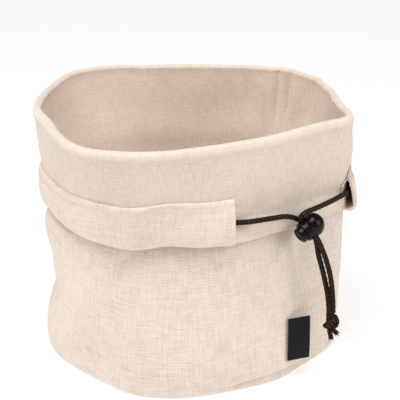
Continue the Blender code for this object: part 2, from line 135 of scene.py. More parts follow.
# Ridges and troughs of the cloth: where the middle of each is, its half length and half width in mm,
# the lean of its long side from upright in degrees (positive leans to the right at the top) and how
# far it stands out (negative goes in). The folds are the solids' own, and the creases are finer.
FOLD_FADE = 12 * MM
FOLD_COLUMNS = ("direction", "height", "length", "width", "lean", "depth")
BODY_FOLDS = (
    (-88, 36, 24, 7.5, 90, -3.6),
    (-85, 72, 26, 13, 90, 3.6),
    (-62, 62, 22, 9, 10, 1.2),
    (-29, 74, 15, 5, 38, -1.8),
    (-40, 60, 16, 8, 40, 0.8),
    (47, 70, 24, 4, 3, 1.2),
    (56, 72, 17, 5, 5, -2.2),
    (66, 58, 22, 6, 0, 0.8),
    (45, 43, 6, 3, 60, -1.0),
    (130, 55, 26, 9, 8, -1.6),
    (172, 48, 24, 8, -10, -1.5),
    (-140, 60, 24, 9, 12, -1.8),
)
BODY_CREASES = (
    (-54, 80, 9, 4.5, 72, -1.8),
    (-21, 66, 13, 6, 48, 0.9),
    (14, 75, 17, 5, 78, -1.1),
    (6, 66, 15, 5, 76, 0.5),
    (-66, 47, 13, 4, 55, -0.5),
    (-48, 34, 15, 7, 62, -0.5),
    (-12, 40, 20, 9, 70, -0.4),
    (18, 48, 16, 7, 20, 0.35),
    (31, 30, 13, 6, 65, -0.4),
    (60, 34, 12, 5, 25, -0.6),
    (78, 62, 17, 5, -8, 0.7),
    (98, 50, 16, 6, 12, -0.9),
    (112, 66, 14, 5, 30, 0.8),
    (150, 62, 15, 6, 25, 1.0),
    (-168, 66, 14, 5, -30, -1.0),
    (-122, 40, 15, 6, -20, 0.9),
    (-108, 62, 12, 5, 30, -0.9),
)
TOP_FOLDS = (
    (31, 103, 6, 5, 0, -1.0),
    (0, 119, 9, 4, 0, -0.7),
    (137, 126, 26, 4, -6, -1.5),
    (148, 130, 24, 4, 4, -1.3),
    (101, 128, 20, 4, 0, -1.2),
    (86, 120, 12, 14, 0, 1.8),
    (-98, 125, 22, 5, 6, -1.2),
    (-160, 122, 24, 6, 0, -1.4),
)
TOP_CREASES = (
    (-29, 115, 5, 2.4, 0, -0.5),
    (-20, 116, 7, 3.0, 12, -0.55),
    (-44, 118, 9, 3.5, -20, -0.35),
    (12, 112, 7, 3.0, -8, -0.35),
    (20, 106, 5, 2.2, 0, -0.4),
    (45, 118, 10, 5, 15, -0.35),
    (62, 110, 7, 3.2, 40, -0.4),
    (141, 127, 21, 1.7, 0, 2.4),
    (146, 128, 22, 1.6, 2, 2.4),
    (152, 127, 22, 2.6, 5, -1.8),
    (158, 126, 20, 3.5, 6, 1.2),
    (128, 128, 20, 3.4, -6, 1.8),
    (30, 104, 4.5, 2.2, 60, -1.6),
    (116, 130, 16, 3.5, 8, -0.8),
    (-112, 128, 16, 4, -8, 0.9),
    (-128, 126, 18, 3.6, 6, -1.0),
    (-146, 130, 18, 4, -5, 0.8),
    (176, 126, 18, 4, 5, -0.9),
)

# Unevenness of sewn and handled cloth: each wave's height in mm, its count round the bag, its turn in
# radians for each mm upwards, and where it starts
UNEVEN_WAVES = (
    (0.10, 11, 0.11, 0.7),
    (0.08, 17, -0.07, 2.1),
    (0.06, 29, 0.16, 4.0),
    (0.05, 7, -0.21, 1.3),
)

# The body draws in under the hem, but less at the left, where it swells to meet the hem
HEM_GROOVE = 1.3 * MM
HEM_GROOVE_DROP = 1 * MM
HEM_GROOVE_HALF_WIDTH = 3.2 * MM
LEFT_DIRECTION = -78
LEFT_REACH = 22
LEFT_FILLED = 0.9
HEM_MEET = 3.4 * MM
HEM_MEET_DROP = 6 * MM
HEM_MEET_HALF_WIDTH = 5 * MM
HEM_MEET_DIRECTION = -66
HEM_MEET_REACH = 15

# The drawn cord's shallow groove round the cuff
GROOVE_HEIGHT = 98 * MM
GROOVE_HALF_WIDTH = 13 * MM
GROOVE_DEPTH = 2.2 * MM

# Drawstring casing, from its front end leftwards round the back to its right end
CASING_START = 17.6
CASING_END = -282.0
CASING_END_LEAN = 12.0
LEAN_FROM = 0.6
GAP = 0.3 * MM
TUNNEL = 3.8 * MM
MOUTH = 5.8 * MM
MOUTH_TOP = 0.68
MOUTH_POWER = 0.42
MOUTH_REACH = 9.0
END_CLEAR = 0.5 * MM
END_RISE = 2.0 * MM
LIP_FRONT = 1.2
LIP_RIGHT = 2.0
LIP_CURL = 0.8 * MM
LIP_CURL_REACH = 1.5
LINING = 0.25 * MM
FACE_TUNNEL = 3.3 * MM
FULL_NEAR_MOUTH = 1.6 * MM
FULL_FROM_END = 14
FULL_REACH = 10
ROLL = 0.8 * MM
ROLL_FROM = 0.92
ROLL_OVER = 0.07
PUCKER = 0.16 * MM
TURNED_UNDER = 7 * MM
GAP_SOFT = 6
TOP_DROP = 1.0 * MM
LEFT_DIP = 2.2 * MM
LEFT_DIP_DIRECTION = -82
LEFT_DIP_REACH = 16
# Painted highlight on the outside near the rim fold: how far down from the fold it reaches and how pale it
# gets
RIM_HIGHLIGHT_REACH = 2.1 * MM
RIM_HIGHLIGHT = 0.28
ARCH_POWER = 2.4

# Row of stitches along the casing's top edge
STITCH_SHARE = 0.88
STITCH_INSET = 1.2
STITCH_CLEAR = 0.3 * MM
STITCH_PITCH = 3.1 * MM
STITCH_LENGTH = 2.3 * MM
STITCH_RADIUS = 0.21 * MM

# Cord and its lock. The route's points are in mm, as in the solids, but for the last two of each
# strand, which lie less than 0.5 mm from theirs.
CORD_LEFT_HEIGHT = 98.2 * MM
CORD_RIGHT_HEIGHT = 96.2 * MM
CORD_INSIDE_FROM = 9.0
CORD_INSIDE_TO = -270.0
LOCK_CENTRE = Vector((65.8, -52.4, 90.0)) * MM
PLUNGER_AXIS = Vector((-0.734, -0.458, -0.502)).normalized()
HOLE_AXIS = Vector((0.65, -0.26, -0.714))
HOLE_REACH = (-6.8, -2.5, 2.5, 7.0)
STRAND_OFFSET = 1.65 * MM
KNOT_TIGHT = 0.92
LEFT_BEFORE_LOCK = ((31.1, -69.0, 98.2), (42.0, -63.3, 97.8), (51.3, -56.9, 96.6))
LEFT_AFTER_LOCK = ((69.7, -53.6, 72.2), (72.8, -52.0, 60.3), (75.5, -50.3, 47.5), (76.6, -49.5, 36.6))
RIGHT_BEFORE_LOCK = ((86.6, -21.0, 97.4), (78.6, -35.0, 98.3), (69.4, -48.2, 99.0), (61.0, -57.2, 98.6))
RIGHT_AFTER_LOCK = ((72.3, -56.4, 74.6), (76.0, -54.4, 61.9), (78.1, -51.2, 47.9), (78.9, -48.6, 36.6))
KNOT_CENTRE = Vector((77.9, -48.6, 30.8)) * MM
KNOT_SHIFT = np.array((-0.4, 0.0, 0.0)) * MM

# Lock's hole and its plunger, in mm
HOLE_MIDDLE = 3.4
HOLE_HALF_HEIGHT = 1.75
HOLE_WIDTH = 6.8
HOLE_ROUNDING = 1.4
CUTTER_LENGTH = 30
COLLAR_FOOT = 3.55
PLUNGER_TRAVEL = 1.6

# Label in the side seam, which leans to the right as it rises
LABEL_DIRECTION = 41.6
LABEL_LEAN = 1.9
LABEL_TURN = 24.0
LABEL_WIDTH = 13.6 * MM
LABEL_BOTTOM = 11.7 * MM
LABEL_TOP = 35.6 * MM
LABEL_STAND = 1.9 * MM
LABEL_CURL = 0.5 * MM
LABEL_THICKNESS = 0.8 * MM

# Camera's target and sideways shift, and each soft light's width, setting, share of it and place
CAMERA_AIM = Vector((0, 0, 0.0855))
CAMERA_SHIFT = 0.02
LIGHT_AIM = Vector((0, 0, 0.08))
SOFTBOXES = (
    ("key_softbox", 1.2, "key", 1.0, (-0.2, -0.45, 1.6)),
    ("left_softbox", 0.9, "fill", 0.7, (-1.15, -0.35, 0.6)),
    ("right_softbox", 0.9, "fill", 1.0, (1.1, -0.5, 0.7)),
)


def linear(hex_colour):
    """An sRGB hex colour as linear red, green and blue."""
    shares = [int(hex_colour[i:i + 2], 16) / 255 for i in (1, 3, 5)]
    return tuple(c / 12.92 if c <= 0.04045 else ((c + 0.055) / 1.055) ** 2.4 for c in shares)


def length_property(name, description, default):
    return FloatProperty(
        name=name, description=description, default=default, min=0.0, unit="LENGTH", precision=5)


def colour_property(name, description, default):
    return FloatVectorProperty(
        name=name, description=description, default=linear(default), subtype="COLOR", size=3)


class ClothSettings(bpy.types.PropertyGroup):
    """Cloth of the wall, the base and the casing."""

    columns: IntProperty(name="Columns", description="Steps round the wall's cloth", default=400, min=64)
    thread_pitch: length_property("Thread pitch", "Space between the outer face's threads", 1.5 * MM)
    back_pitch: length_property("Inner pitch", "Space between the inner face's finer threads", 0.9 * MM)
    thread: colour_property("Thread", "Unbleached linen thread", "#F3E2D3")
    gap_between: colour_property("Between threads", "Shade between the threads", "#B29A80")
    back_thread: colour_property("Inner thread", "Cotton thread of the inner face", "#EDDBCC")
    back_between: colour_property("Between inner threads", "Shade between them", "#B8A38D")


class CordSettings(bpy.types.PropertyGroup):
    """Braided cord."""

    diameter: length_property("Diameter", "Thickness of the cord", 3.0 * MM)
    cell: length_property("Braid step", "Length of one crossing of the braid along the cord", 1.7 * MM)
    crossings: IntProperty(name="Crossings", description="Crossings of the braid round the cord", default=6)
    yarn: colour_property("Yarn", "Brown yarn at the top of the braid", "#84634A")
    between: colour_property("Between yarns", "Shade between the yarns", "#150C07")


class LockSettings(bpy.types.PropertyGroup):
    """Cord lock."""

    ball_radius: length_property("Ball radius", "Radius of the ball", 6.8 * MM)
    plastic: colour_property("Plastic", "Moulded black plastic", "#0A0807")
    roughness: FloatProperty(
        name="Roughness", description="Polish of the moulding", default=0.21, min=0, max=1)


class StageSettings(bpy.types.PropertyGroup):
    """Camera, lights and floor."""

    distance: length_property("Distance", "From the camera to the bag's middle", 1.0)
    elevation: FloatProperty(
        name="Elevation", description="Camera above the horizon", default=math.radians(20), unit="ROTATION")
    lens: FloatProperty(name="Lens", description="Focal length in millimetres", default=156.25, min=1)
    key: FloatProperty(
        name="Key light", description="Power of the large soft light", default=21.0, unit="POWER")
    fill: FloatProperty(
        name="Fill light", description="Power of the right light, the stronger of two", default=5.5,
        unit="POWER")
    floor_glow: FloatProperty(name="Floor glow", description="Light from below the floor", default=0.6, min=0)
    sky: FloatProperty(name="Surround", description="Strength of the white surround", default=0.22, min=0)


def smooth_between(knots, values, at):
    """Cubic curve through the values at the knots, with each inner slope taken from both neighbours.

    Values may have a column for each place of the last axis of at.
    """
    knots = np.asarray(knots, float)
    values = np.asarray(values, float)
    steps = np.diff(knots)
    shape = (-1, *[1] * (values.ndim - 1))
    rises = np.diff(values, axis=0) / steps.reshape(shape)
    slopes = np.concatenate([rises[:1], (rises[1:] + rises[:-1]) / 2, rises[-1:]])
    span = np.clip(np.searchsorted(knots, at, side="right") - 1, 0, len(steps) - 1)
    width = steps[span]
    t = (at - knots[span]) / width
    if values.ndim == 1 or np.ndim(at) == 1:
        low, high, slope_low, slope_high = values[span], values[span + 1], slopes[span], slopes[span + 1]
        if values.ndim > 1:
            t, width = t[:, None], width[:, None]
    else:
        column = np.arange(values.shape[1])
        low, high = values[span, column], values[span + 1, column]
        slope_low, slope_high = slopes[span, column], slopes[span + 1, column]
    return (
        (2 * t**3 - 3 * t**2 + 1) * low
        + (t**3 - 2 * t**2 + t) * width * slope_low
        + (3 * t**2 - 2 * t**3) * high
        + (t**3 - t**2) * width * slope_high
    )


def turn_from(direction, start):
    """Degrees from a start to a direction, between -180 and 180."""
    return (direction - start + 180) % 360 - 180


def bell(value, middle, reach):
    """1 at the middle, falling on both sides as e to the minus squared distance, measured in its reach."""
    return np.exp(-(((value - middle) / reach) ** 2))


def plan(column, direction):
    """One column of PLAN in metres, as a smooth closed curve over the direction."""
    index = PLAN_COLUMNS.index(column)
    knots = np.array([row[0] + turn for turn in (-360, 0, 360) for row in PLAN])
    values = np.array([row[index] for row in PLAN] * 3) * MM
    return smooth_between(knots, values, turn_from(np.asarray(direction, float), 0))


def folds(table, direction, height):
    """How far the ridges and troughs of a table push the cloth out.

    Each is a round-ended bump: its depth times e to the minus squared distance from its middle,
    measured in its half length and half width along its own leaning axes.
    """
    total = np.zeros(np.broadcast(direction, height).shape)
    for row in table:
        fold = dict(zip(FOLD_COLUMNS, row))
        turn = np.radians(turn_from(direction, fold["direction"]))
        across = turn * plan("waist", fold["direction"])
        rise = height - fold["height"] * MM
        lean = math.radians(fold["lean"])
        along = rise * math.cos(lean) + across * math.sin(lean)
        aside = across * math.cos(lean) - rise * math.sin(lean)
        reach = (along / (fold["length"] * MM)) ** 2 + (aside / (fold["width"] * MM)) ** 2
        total += fold["depth"] * MM * np.exp(-reach)
    return total


def unevenness(direction, height):
    """Slight unevenness of the cloth: waves that cross at odd angles."""
    turn = np.radians(direction)
    rise = height / MM
    return MM * sum(
        size * np.sin(count * turn + lean * rise + start) for size, count, lean, start in UNEVEN_WAVES)


def eased(share):
    """A share from 0 to 1 with a soft start and end."""
    share = np.clip(share, 0, 1)
    return share * share * (3 - 2 * share)


def hem_height(direction):
    return HEM_HEIGHT - plan("drop", direction)


def casing_top(direction):
    dip = LEFT_DIP * bell(turn_from(direction, LEFT_DIP_DIRECTION), 0, LEFT_DIP_REACH)
    return CASING_TOP - plan("sag", direction) - dip


def cuff_radius(direction, height):
    """Middle of the cuff's cloth: straight from the rim to the hem, with its groove and its folds."""
    share = (FOLD_CENTRE - height) / (FOLD_CENTRE - HEM_HEIGHT)
    straight = plan("rim", direction) + (plan("hem", direction) - plan("rim", direction)) * share
    groove = GROOVE_DEPTH * bell(height, GROOVE_HEIGHT, GROOVE_HALF_WIDTH)
    pushed = folds(TOP_FOLDS + TOP_CREASES, direction, height)
    return straight - CLOTH / 2 - groove + pushed + unevenness(direction, height)


def body_radius(direction, height):
    """Middle of the body's cloth: from the base's seam over belly, waist and shoulder to the fold."""
    direction, height = np.broadcast_arrays(direction, height)
    around_it = direction[0]
    foot = plan("base", around_it) - CLOTH / 2 + FOOT_OUT
    belly = plan("base", around_it) - CLOTH / 2 + BELLY_OUT
    waist = plan("waist", around_it) - CLOTH / 2
    shoulder = cuff_radius(around_it, SHOULDER) - plan("lift", around_it) - CLOTH
    sections = np.array([foot, belly, waist, shoulder])
    low = smooth_between((FOOT_HEIGHT, BELLY, WAIST, SHOULDER), sections, np.clip(height, 0, SHOULDER))
    under_cuff = eased((height - SHOULDER + FOLD_FADE) / FOLD_FADE)
    pushed = folds(BODY_FOLDS + BODY_CREASES, direction, height) + unevenness(direction, height)
    low = low + pushed * (1 - under_cuff)
    share = eased((height - SHOULDER) / (FOLD_CENTRE - SHOULDER))
    spacing = (plan("lift", direction) + CLOTH) * (1 - share) + 2 * FOLD_RADIUS * share
    whole = np.where(height > SHOULDER, cuff_radius(direction, height) - spacing, low)
    above_hem = height - hem_height(direction)
    free = 1 - LEFT_FILLED * bell(turn_from(direction, LEFT_DIRECTION), 0, LEFT_REACH)
    drawn_in = HEM_GROOVE * free * bell(above_hem, -HEM_GROOVE_DROP, HEM_GROOVE_HALF_WIDTH)
    beside = bell(turn_from(direction, HEM_MEET_DIRECTION), 0, HEM_MEET_REACH)
    meeting = HEM_MEET * beside * bell(above_hem, -HEM_MEET_DROP, HEM_MEET_HALF_WIDTH)
    return whole - drawn_in + meeting


def around(direction, radius, height):
    """Points at a direction, a distance from the middle and a height, as an array of x, y, z."""
    turn = np.radians(direction)
    return np.stack(np.broadcast_arrays(radius * np.sin(turn), -radius * np.cos(turn), height), axis=-1)


def cells(places):
    """The four corners of each cell of a grid, in order round it."""
    return np.stack([places[:-1, :-1], places[:-1, 1:], places[1:, 1:], places[1:, :-1]], axis=2)


def weld(mesh, distance):
    """Joins a mesh's points that lie within a distance, and turns its faces outwards."""
    shape = bmesh.new()
    shape.from_mesh(mesh)
    bmesh.ops.remove_doubles(shape, verts=shape.verts, dist=distance)
    bmesh.ops.recalc_face_normals(shape, faces=shape.faces)
    shape.to_mesh(mesh)
    shape.free()
    return mesh


def grid_mesh(name, grid, closed_across=False, uv=None):
    """A mesh of four-sided faces through a grid of points, rows by columns.

    A grid closed across joins its last column to its first. The map holds metres of cloth across and
    along, or the given pair of arrays, with one more column where the grid is closed.
    """
    rows, columns = grid.shape[:2]
    index = np.arange(rows * columns).reshape(rows, columns)
    if closed_across:
        index = np.concatenate([index, index[:, :1]], axis=1)
    mesh = bpy.data.meshes.new(name)
    mesh.from_pydata(grid.reshape(-1, 3).tolist(), [], cells(index).reshape(-1, 4).tolist())
    if uv is None:
        places = grid.reshape(-1, 3)[index]
        across = np.linalg.norm(np.diff(places, axis=1), axis=2).mean(axis=0)
        along = np.linalg.norm(np.diff(places, axis=0), axis=2).mean(axis=1)
        uv = np.meshgrid(np.concatenate([[0], np.cumsum(across)]), np.concatenate([[0], np.cumsum(along)]))
    layer = mesh.uv_layers.new(name="cloth")
    layer.data.foreach_set("uv", cells(np.stack(uv, axis=-1)).reshape(-1).astype(np.float32))
    return mesh


def place(mesh, *materials):
    """An object of a mesh at the origin, shaded smooth, with its materials."""
    made = bpy.data.objects.new(mesh.name, mesh)
    for material in materials:
        mesh.materials.append(material)
    mesh.shade_smooth()
    mesh.set_sharp_from_angle(angle=math.radians(50))
    bpy.context.scene.collection.objects.link(made)
    return made


def thicken(piece, thickness, weights=None, back=0):
    """Gives a cloth its thickness, half to each side, and rounds its edges.

    Weights are shares of that thickness, one for each point of the cloth's grid.
    """
    solid = piece.modifiers.new("thickness", "SOLIDIFY")
    solid.thickness = thickness
    solid.offset = 0
    solid.material_offset = back
    if weights is not None:
        group = piece.vertex_groups.new(name="hem")
        levels = np.round(weights.reshape(-1), 2)
        for level in np.unique(levels):
            group.add(np.flatnonzero(levels == level).tolist(), float(level), "REPLACE")
        solid.vertex_group = group.name
        solid.thickness_vertex_group = 0.0
    edge = piece.modifiers.new("edge", "BEVEL")
    edge.width = 0.3 * MM
    edge.segments = 2
    edge.limit_method = "ANGLE"
    edge.angle_limit = math.radians(60)


def paint_rim_highlight(piece, amounts):
    """Marks where a cloth's folds are painted pale, a painted highlight for light on the fold, from 0 to 1 at
    each point of its grid.
    """
    layer = piece.data.attributes.new("rim_highlight", "FLOAT", "POINT")
    layer.data.foreach_set("value", amounts.reshape(-1).astype(np.float32))


def settled(piece):
    """The piece with its modifiers applied to its mesh."""
    view = bpy.context.evaluated_depsgraph_get()
    mesh = bpy.data.meshes.new_from_object(piece.evaluated_get(view))
    piece.modifiers.clear()
    old = piece.data
    piece.data = mesh
    mesh.name = old.name
    bpy.data.meshes.remove(old)
    return piece


def add_node(tree, kind, links=None, **settings):
    """Adds a node with its settings and links.

    Links give an input, by its name or number, a value, an output or a node for its first output.
    """
    node = tree.nodes.new(kind)
    for name, value in settings.items():
        setattr(node, name, value)
    for name, value in (links or {}).items():
        if isinstance(value, bpy.types.Node):
            value = value.outputs[0]
        if isinstance(value, bpy.types.NodeSocket):
            tree.links.new(value, node.inputs[name])
        else:
            node.inputs[name].default_value = value
    return node


def new_material(name, roughness, **sockets):
    """A material with one Principled shader, whose even values are set on its own sockets."""
    material = bpy.data.materials.new(name)
    material.use_nodes = True
    shader = material.node_tree.nodes["Principled BSDF"]
    shader.inputs["Roughness"].default_value = roughness
    for socket, value in sockets.items():
        shader.inputs[socket.replace("_", " ")].default_value = value
    return material, material.node_tree, shader


def woven(name, pitch, thread, between, contrast, relief, flecks):
    """Plain-weave cloth, spun from unbleached fibre and sewn unwashed: matt, faintly uneven in tone.

    The threads are drawn about twice as coarse as real ones, so that they show. A thread's height is
    the sine of its place across, raised where it passes over and lowered where it passes under.
    """
    wandering = 1.3 * pitch
    over_under = 0.5
    streak_share = 2.4
    darkest, lightest = 2.35, 3.95
    patchiness = 0.44
    fleck_space = 0.03
    material, tree, shader = new_material(name, 0.92, Sheen_Weight=0.25, Sheen_Roughness=0.6)
    flat = add_node(tree, "ShaderNodeUVMap", uv_map="cloth")
    wander = add_node(tree, "ShaderNodeTexNoise", {"Vector": flat, "Scale": 0.35 / pitch, "Detail": 1.0})
    cloth = add_node(
        tree, "ShaderNodeVectorMath",
        {0: wander.outputs["Color"], 1: (wandering,) * 3, 2: flat}, operation="MULTIPLY_ADD")
    turns = add_node(tree, "ShaderNodeVectorMath", {0: cloth, "Scale": math.pi / pitch}, operation="SCALE")
    waves = add_node(tree, "ShaderNodeVectorMath", {0: turns}, operation="SINE")
    wave_x, wave_y = add_node(tree, "ShaderNodeSeparateXYZ", {0: waves}).outputs[:2]
    crossing = add_node(tree, "ShaderNodeMath", {0: wave_x, 1: wave_y}, operation="MULTIPLY")
    upright = add_node(tree, "ShaderNodeMath", {0: wave_x}, operation="ABSOLUTE")
    level = add_node(tree, "ShaderNodeMath", {0: wave_y}, operation="ABSOLUTE")
    over = add_node(
        tree, "ShaderNodeMath", {0: crossing, 1: over_under, 2: upright}, operation="MULTIPLY_ADD")
    under = add_node(
        tree, "ShaderNodeMath", {0: crossing, 1: -over_under, 2: level}, operation="MULTIPLY_ADD")
    height = add_node(tree, "ShaderNodeMath", {0: over, 1: under}, operation="MAXIMUM")

    # Threads differ in thickness and tone: streaks along each, one thread wide
    streaks = []
    for across, along in ((0.9, 0.14), (0.14, 0.9)):
        stretched = add_node(
            tree, "ShaderNodeVectorMath",
            {0: cloth, 1: (across / pitch, along / pitch, 1)}, operation="MULTIPLY")
        streaks.append(add_node(
            tree, "ShaderNodeTexNoise", {"Vector": stretched, "Scale": 1.0, "Detail": 2.0}))
    streak = add_node(
        tree, "ShaderNodeMath", {0: streaks[0], 1: streaks[1]}, operation="ADD")
    mixed = add_node(
        tree, "ShaderNodeMath", {0: streak, 1: streak_share, 2: height}, operation="MULTIPLY_ADD")
    shade = add_node(
        tree, "ShaderNodeMapRange",
        {"Value": mixed, "From Min": darkest, "From Max": lightest, "To Min": 1 - contrast, "To Max": 1.0})
    patches = add_node(
        tree, "ShaderNodeTexNoise", {"Vector": cloth, "Scale": 28.0, "Detail": 3.0})
    worn = add_node(
        tree, "ShaderNodeMath", {0: patches, 1: patchiness, 2: shade}, operation="MULTIPLY_ADD")
    toned = add_node(tree, "ShaderNodeMath", {0: worn, 1: patchiness / 2}, operation="SUBTRACT")
    colour = add_node(
        tree, "ShaderNodeMix",
        {"Factor": toned, "A": (*between, 1), "B": (*thread, 1)}, data_type="RGBA")

    # Painted highlight: near the rim fold the colour is mixed towards pale cream, standing in for light on
    # the fold
    rim_highlight = add_node(tree, "ShaderNodeAttribute", attribute_name="rim_highlight")
    highlighted = add_node(
        tree, "ShaderNodeMix",
        {"Factor": rim_highlight.outputs["Fac"], "A": colour.outputs["Result"], "B": (*linear("#FFF3E6"), 1)},
        data_type="RGBA")

    # Stray dark fibres of the plant, a few on each side of the bag
    spots = add_node(
        tree, "ShaderNodeTexVoronoi", {"Vector": cloth, "Scale": 1 / fleck_space, "Randomness": 1.0})
    speck = add_node(
        tree, "ShaderNodeMapRange",
        {"Value": spots.outputs["Distance"], "From Min": 0.010, "From Max": 0.026,
         "To Min": flecks, "To Max": 0.0})
    flecked = add_node(
        tree, "ShaderNodeMix",
        {"Factor": speck, "A": highlighted.outputs["Result"], "B": (*linear("#6B5138"), 1)},
        data_type="RGBA")
    bump = add_node(
        tree, "ShaderNodeBump", {"Height": mixed, "Strength": 0.35, "Distance": relief})
    tree.links.new(flecked.outputs["Result"], shader.inputs["Base Color"])
    tree.links.new(bump.outputs[0], shader.inputs["Normal"])
    return material


def linen():
    """The cloth's outer face: slubby linen threads that stand apart."""
    cloth = bpy.context.scene.bag_cloth
    return bpy.data.materials.get("linen_face") or woven(
        "linen_face", cloth.thread_pitch, cloth.thread, cloth.gap_between,
        contrast=0.40, relief=0.2 * MM, flecks=0.5)


def cotton():
    """The cloth's inner face, which the cuff shows: finer, closer and a little greyer."""
    cloth = bpy.context.scene.bag_cloth
    return bpy.data.materials.get("cotton_back") or woven(
        "cotton_back", cloth.back_pitch, cloth.back_thread, cloth.back_between,
        contrast=0.46, relief=0.12 * MM, flecks=0.4)


def braid():
    """Braided polyester, dyed dark brown: each crossing has a lighter crown and a near black edge."""
    known = bpy.data.materials.get("braided_polyester")
    if known:
        return known
    cord = bpy.context.scene.bag_cord
    material, tree, shader = new_material("braided_polyester", 0.7, Specular_IOR_Level=0.15)
    relief = add_node(tree, "ShaderNodeAttribute", attribute_name="relief")
    places = add_node(tree, "ShaderNodeTexCoord")
    fibres = add_node(
        tree, "ShaderNodeTexNoise",
        {"Vector": places.outputs["Object"], "Scale": 1 / (0.8 * MM), "Detail": 2.0})
    mixed = add_node(
        tree, "ShaderNodeMath", {0: fibres, 1: 0.7, 2: relief.outputs["Fac"]}, operation="MULTIPLY_ADD")
    shade = add_node(tree, "ShaderNodeMapRange", {"Value": mixed, "From Min": 0.95, "From Max": 1.6})
    colour = add_node(
        tree, "ShaderNodeMix",
        {"Factor": shade, "A": (*cord.between, 1), "B": (*cord.yarn, 1)}, data_type="RGBA")
    bump = add_node(
        tree, "ShaderNodeBump", {"Height": fibres, "Strength": 0.5, "Distance": 0.15 * MM})
    tree.links.new(colour.outputs["Result"], shader.inputs["Base Color"])
    tree.links.new(bump.outputs[0], shader.inputs["Normal"])
    return material


def moulded_plastic():
    """Injection-moulded nylon, black, off a polished mould: glossy, with faint flow unevenness."""
    known = bpy.data.materials.get("moulded_nylon")
    if known:
        return known
    lock = bpy.context.scene.bag_lock
    material, tree, shader = new_material(
        "moulded_nylon", lock.roughness, IOR=1.53, Specular_IOR_Level=0.18)
    places = add_node(tree, "ShaderNodeTexCoord")
    flow = add_node(
        tree, "ShaderNodeTexNoise",
        {"Vector": places.outputs["Object"], "Scale": 1 / (2.5 * MM), "Detail": 4.0})
    colour = add_node(
        tree, "ShaderNodeMix",
        {"Factor": flow, "A": (*lock.plastic, 1), "B": (*linear("#161110"), 1)}, data_type="RGBA")
    polish = add_node(
        tree, "ShaderNodeMapRange",
        {"Value": flow, "To Min": lock.roughness - 0.05, "To Max": lock.roughness + 0.08})
    bump = add_node(tree, "ShaderNodeBump", {"Height": flow, "Strength": 0.08, "Distance": 0.05 * MM})
    tree.links.new(colour.outputs["Result"], shader.inputs["Base Color"])
    tree.links.new(polish.outputs[0], shader.inputs["Roughness"])
    tree.links.new(bump.outputs[0], shader.inputs["Normal"])
    return material


def satin_ribbon():
    """Woven polyester satin, black: ribs across the ribbon and a low silky shine."""
    material, tree, shader = new_material("satin_ribbon", 0.55, Specular_IOR_Level=0.2, Sheen_Weight=0.04)
    cloth = add_node(tree, "ShaderNodeUVMap", uv_map="cloth")
    ribs = add_node(
        tree, "ShaderNodeTexWave",
        {"Vector": cloth, "Scale": 1 / (20 * 0.7 * MM), "Distortion": 0.4, "Detail": 1.0},
        bands_direction="Y")
    colour = add_node(
        tree, "ShaderNodeMix",
        {"Factor": ribs.outputs["Fac"], "A": (*linear("#040404"), 1), "B": (*linear("#0E0D0E"), 1)},
        data_type="RGBA")
    bump = add_node(
        tree, "ShaderNodeBump", {"Height": ribs.outputs["Fac"], "Strength": 0.3, "Distance": 0.08 * MM})
    tree.links.new(colour.outputs["Result"], shader.inputs["Base Color"])
    tree.links.new(bump.outputs[0], shader.inputs["Normal"])
    return material


def sewing_thread():
    """Spun polyester sewing thread, cream: a twist along each stitch."""
    known = bpy.data.materials.get("sewing_thread")
    if known:
        return known
    material, tree, shader = new_material("sewing_thread", 0.7, Sheen_Weight=0.2)
    places = add_node(tree, "ShaderNodeTexCoord")
    twist = add_node(
        tree, "ShaderNodeTexNoise",
        {"Vector": places.outputs["Object"], "Scale": 1 / (0.6 * MM), "Detail": 1.0})
    colour = add_node(
        tree, "ShaderNodeMix",
        {"Factor": twist, "A": (*linear("#DDCCBA"), 1), "B": (*linear("#F0E0D0"), 1)},
        data_type="RGBA")
    tree.links.new(colour.outputs["Result"], shader.inputs["Base Color"])
    return material


def rim_bulge(height):
    """How far the cloth stands out a little below the rim."""
    return RIM_BULGE * bell(height, FOLD_CENTRE - RIM_BULGE_DROP, RIM_BULGE_REACH)


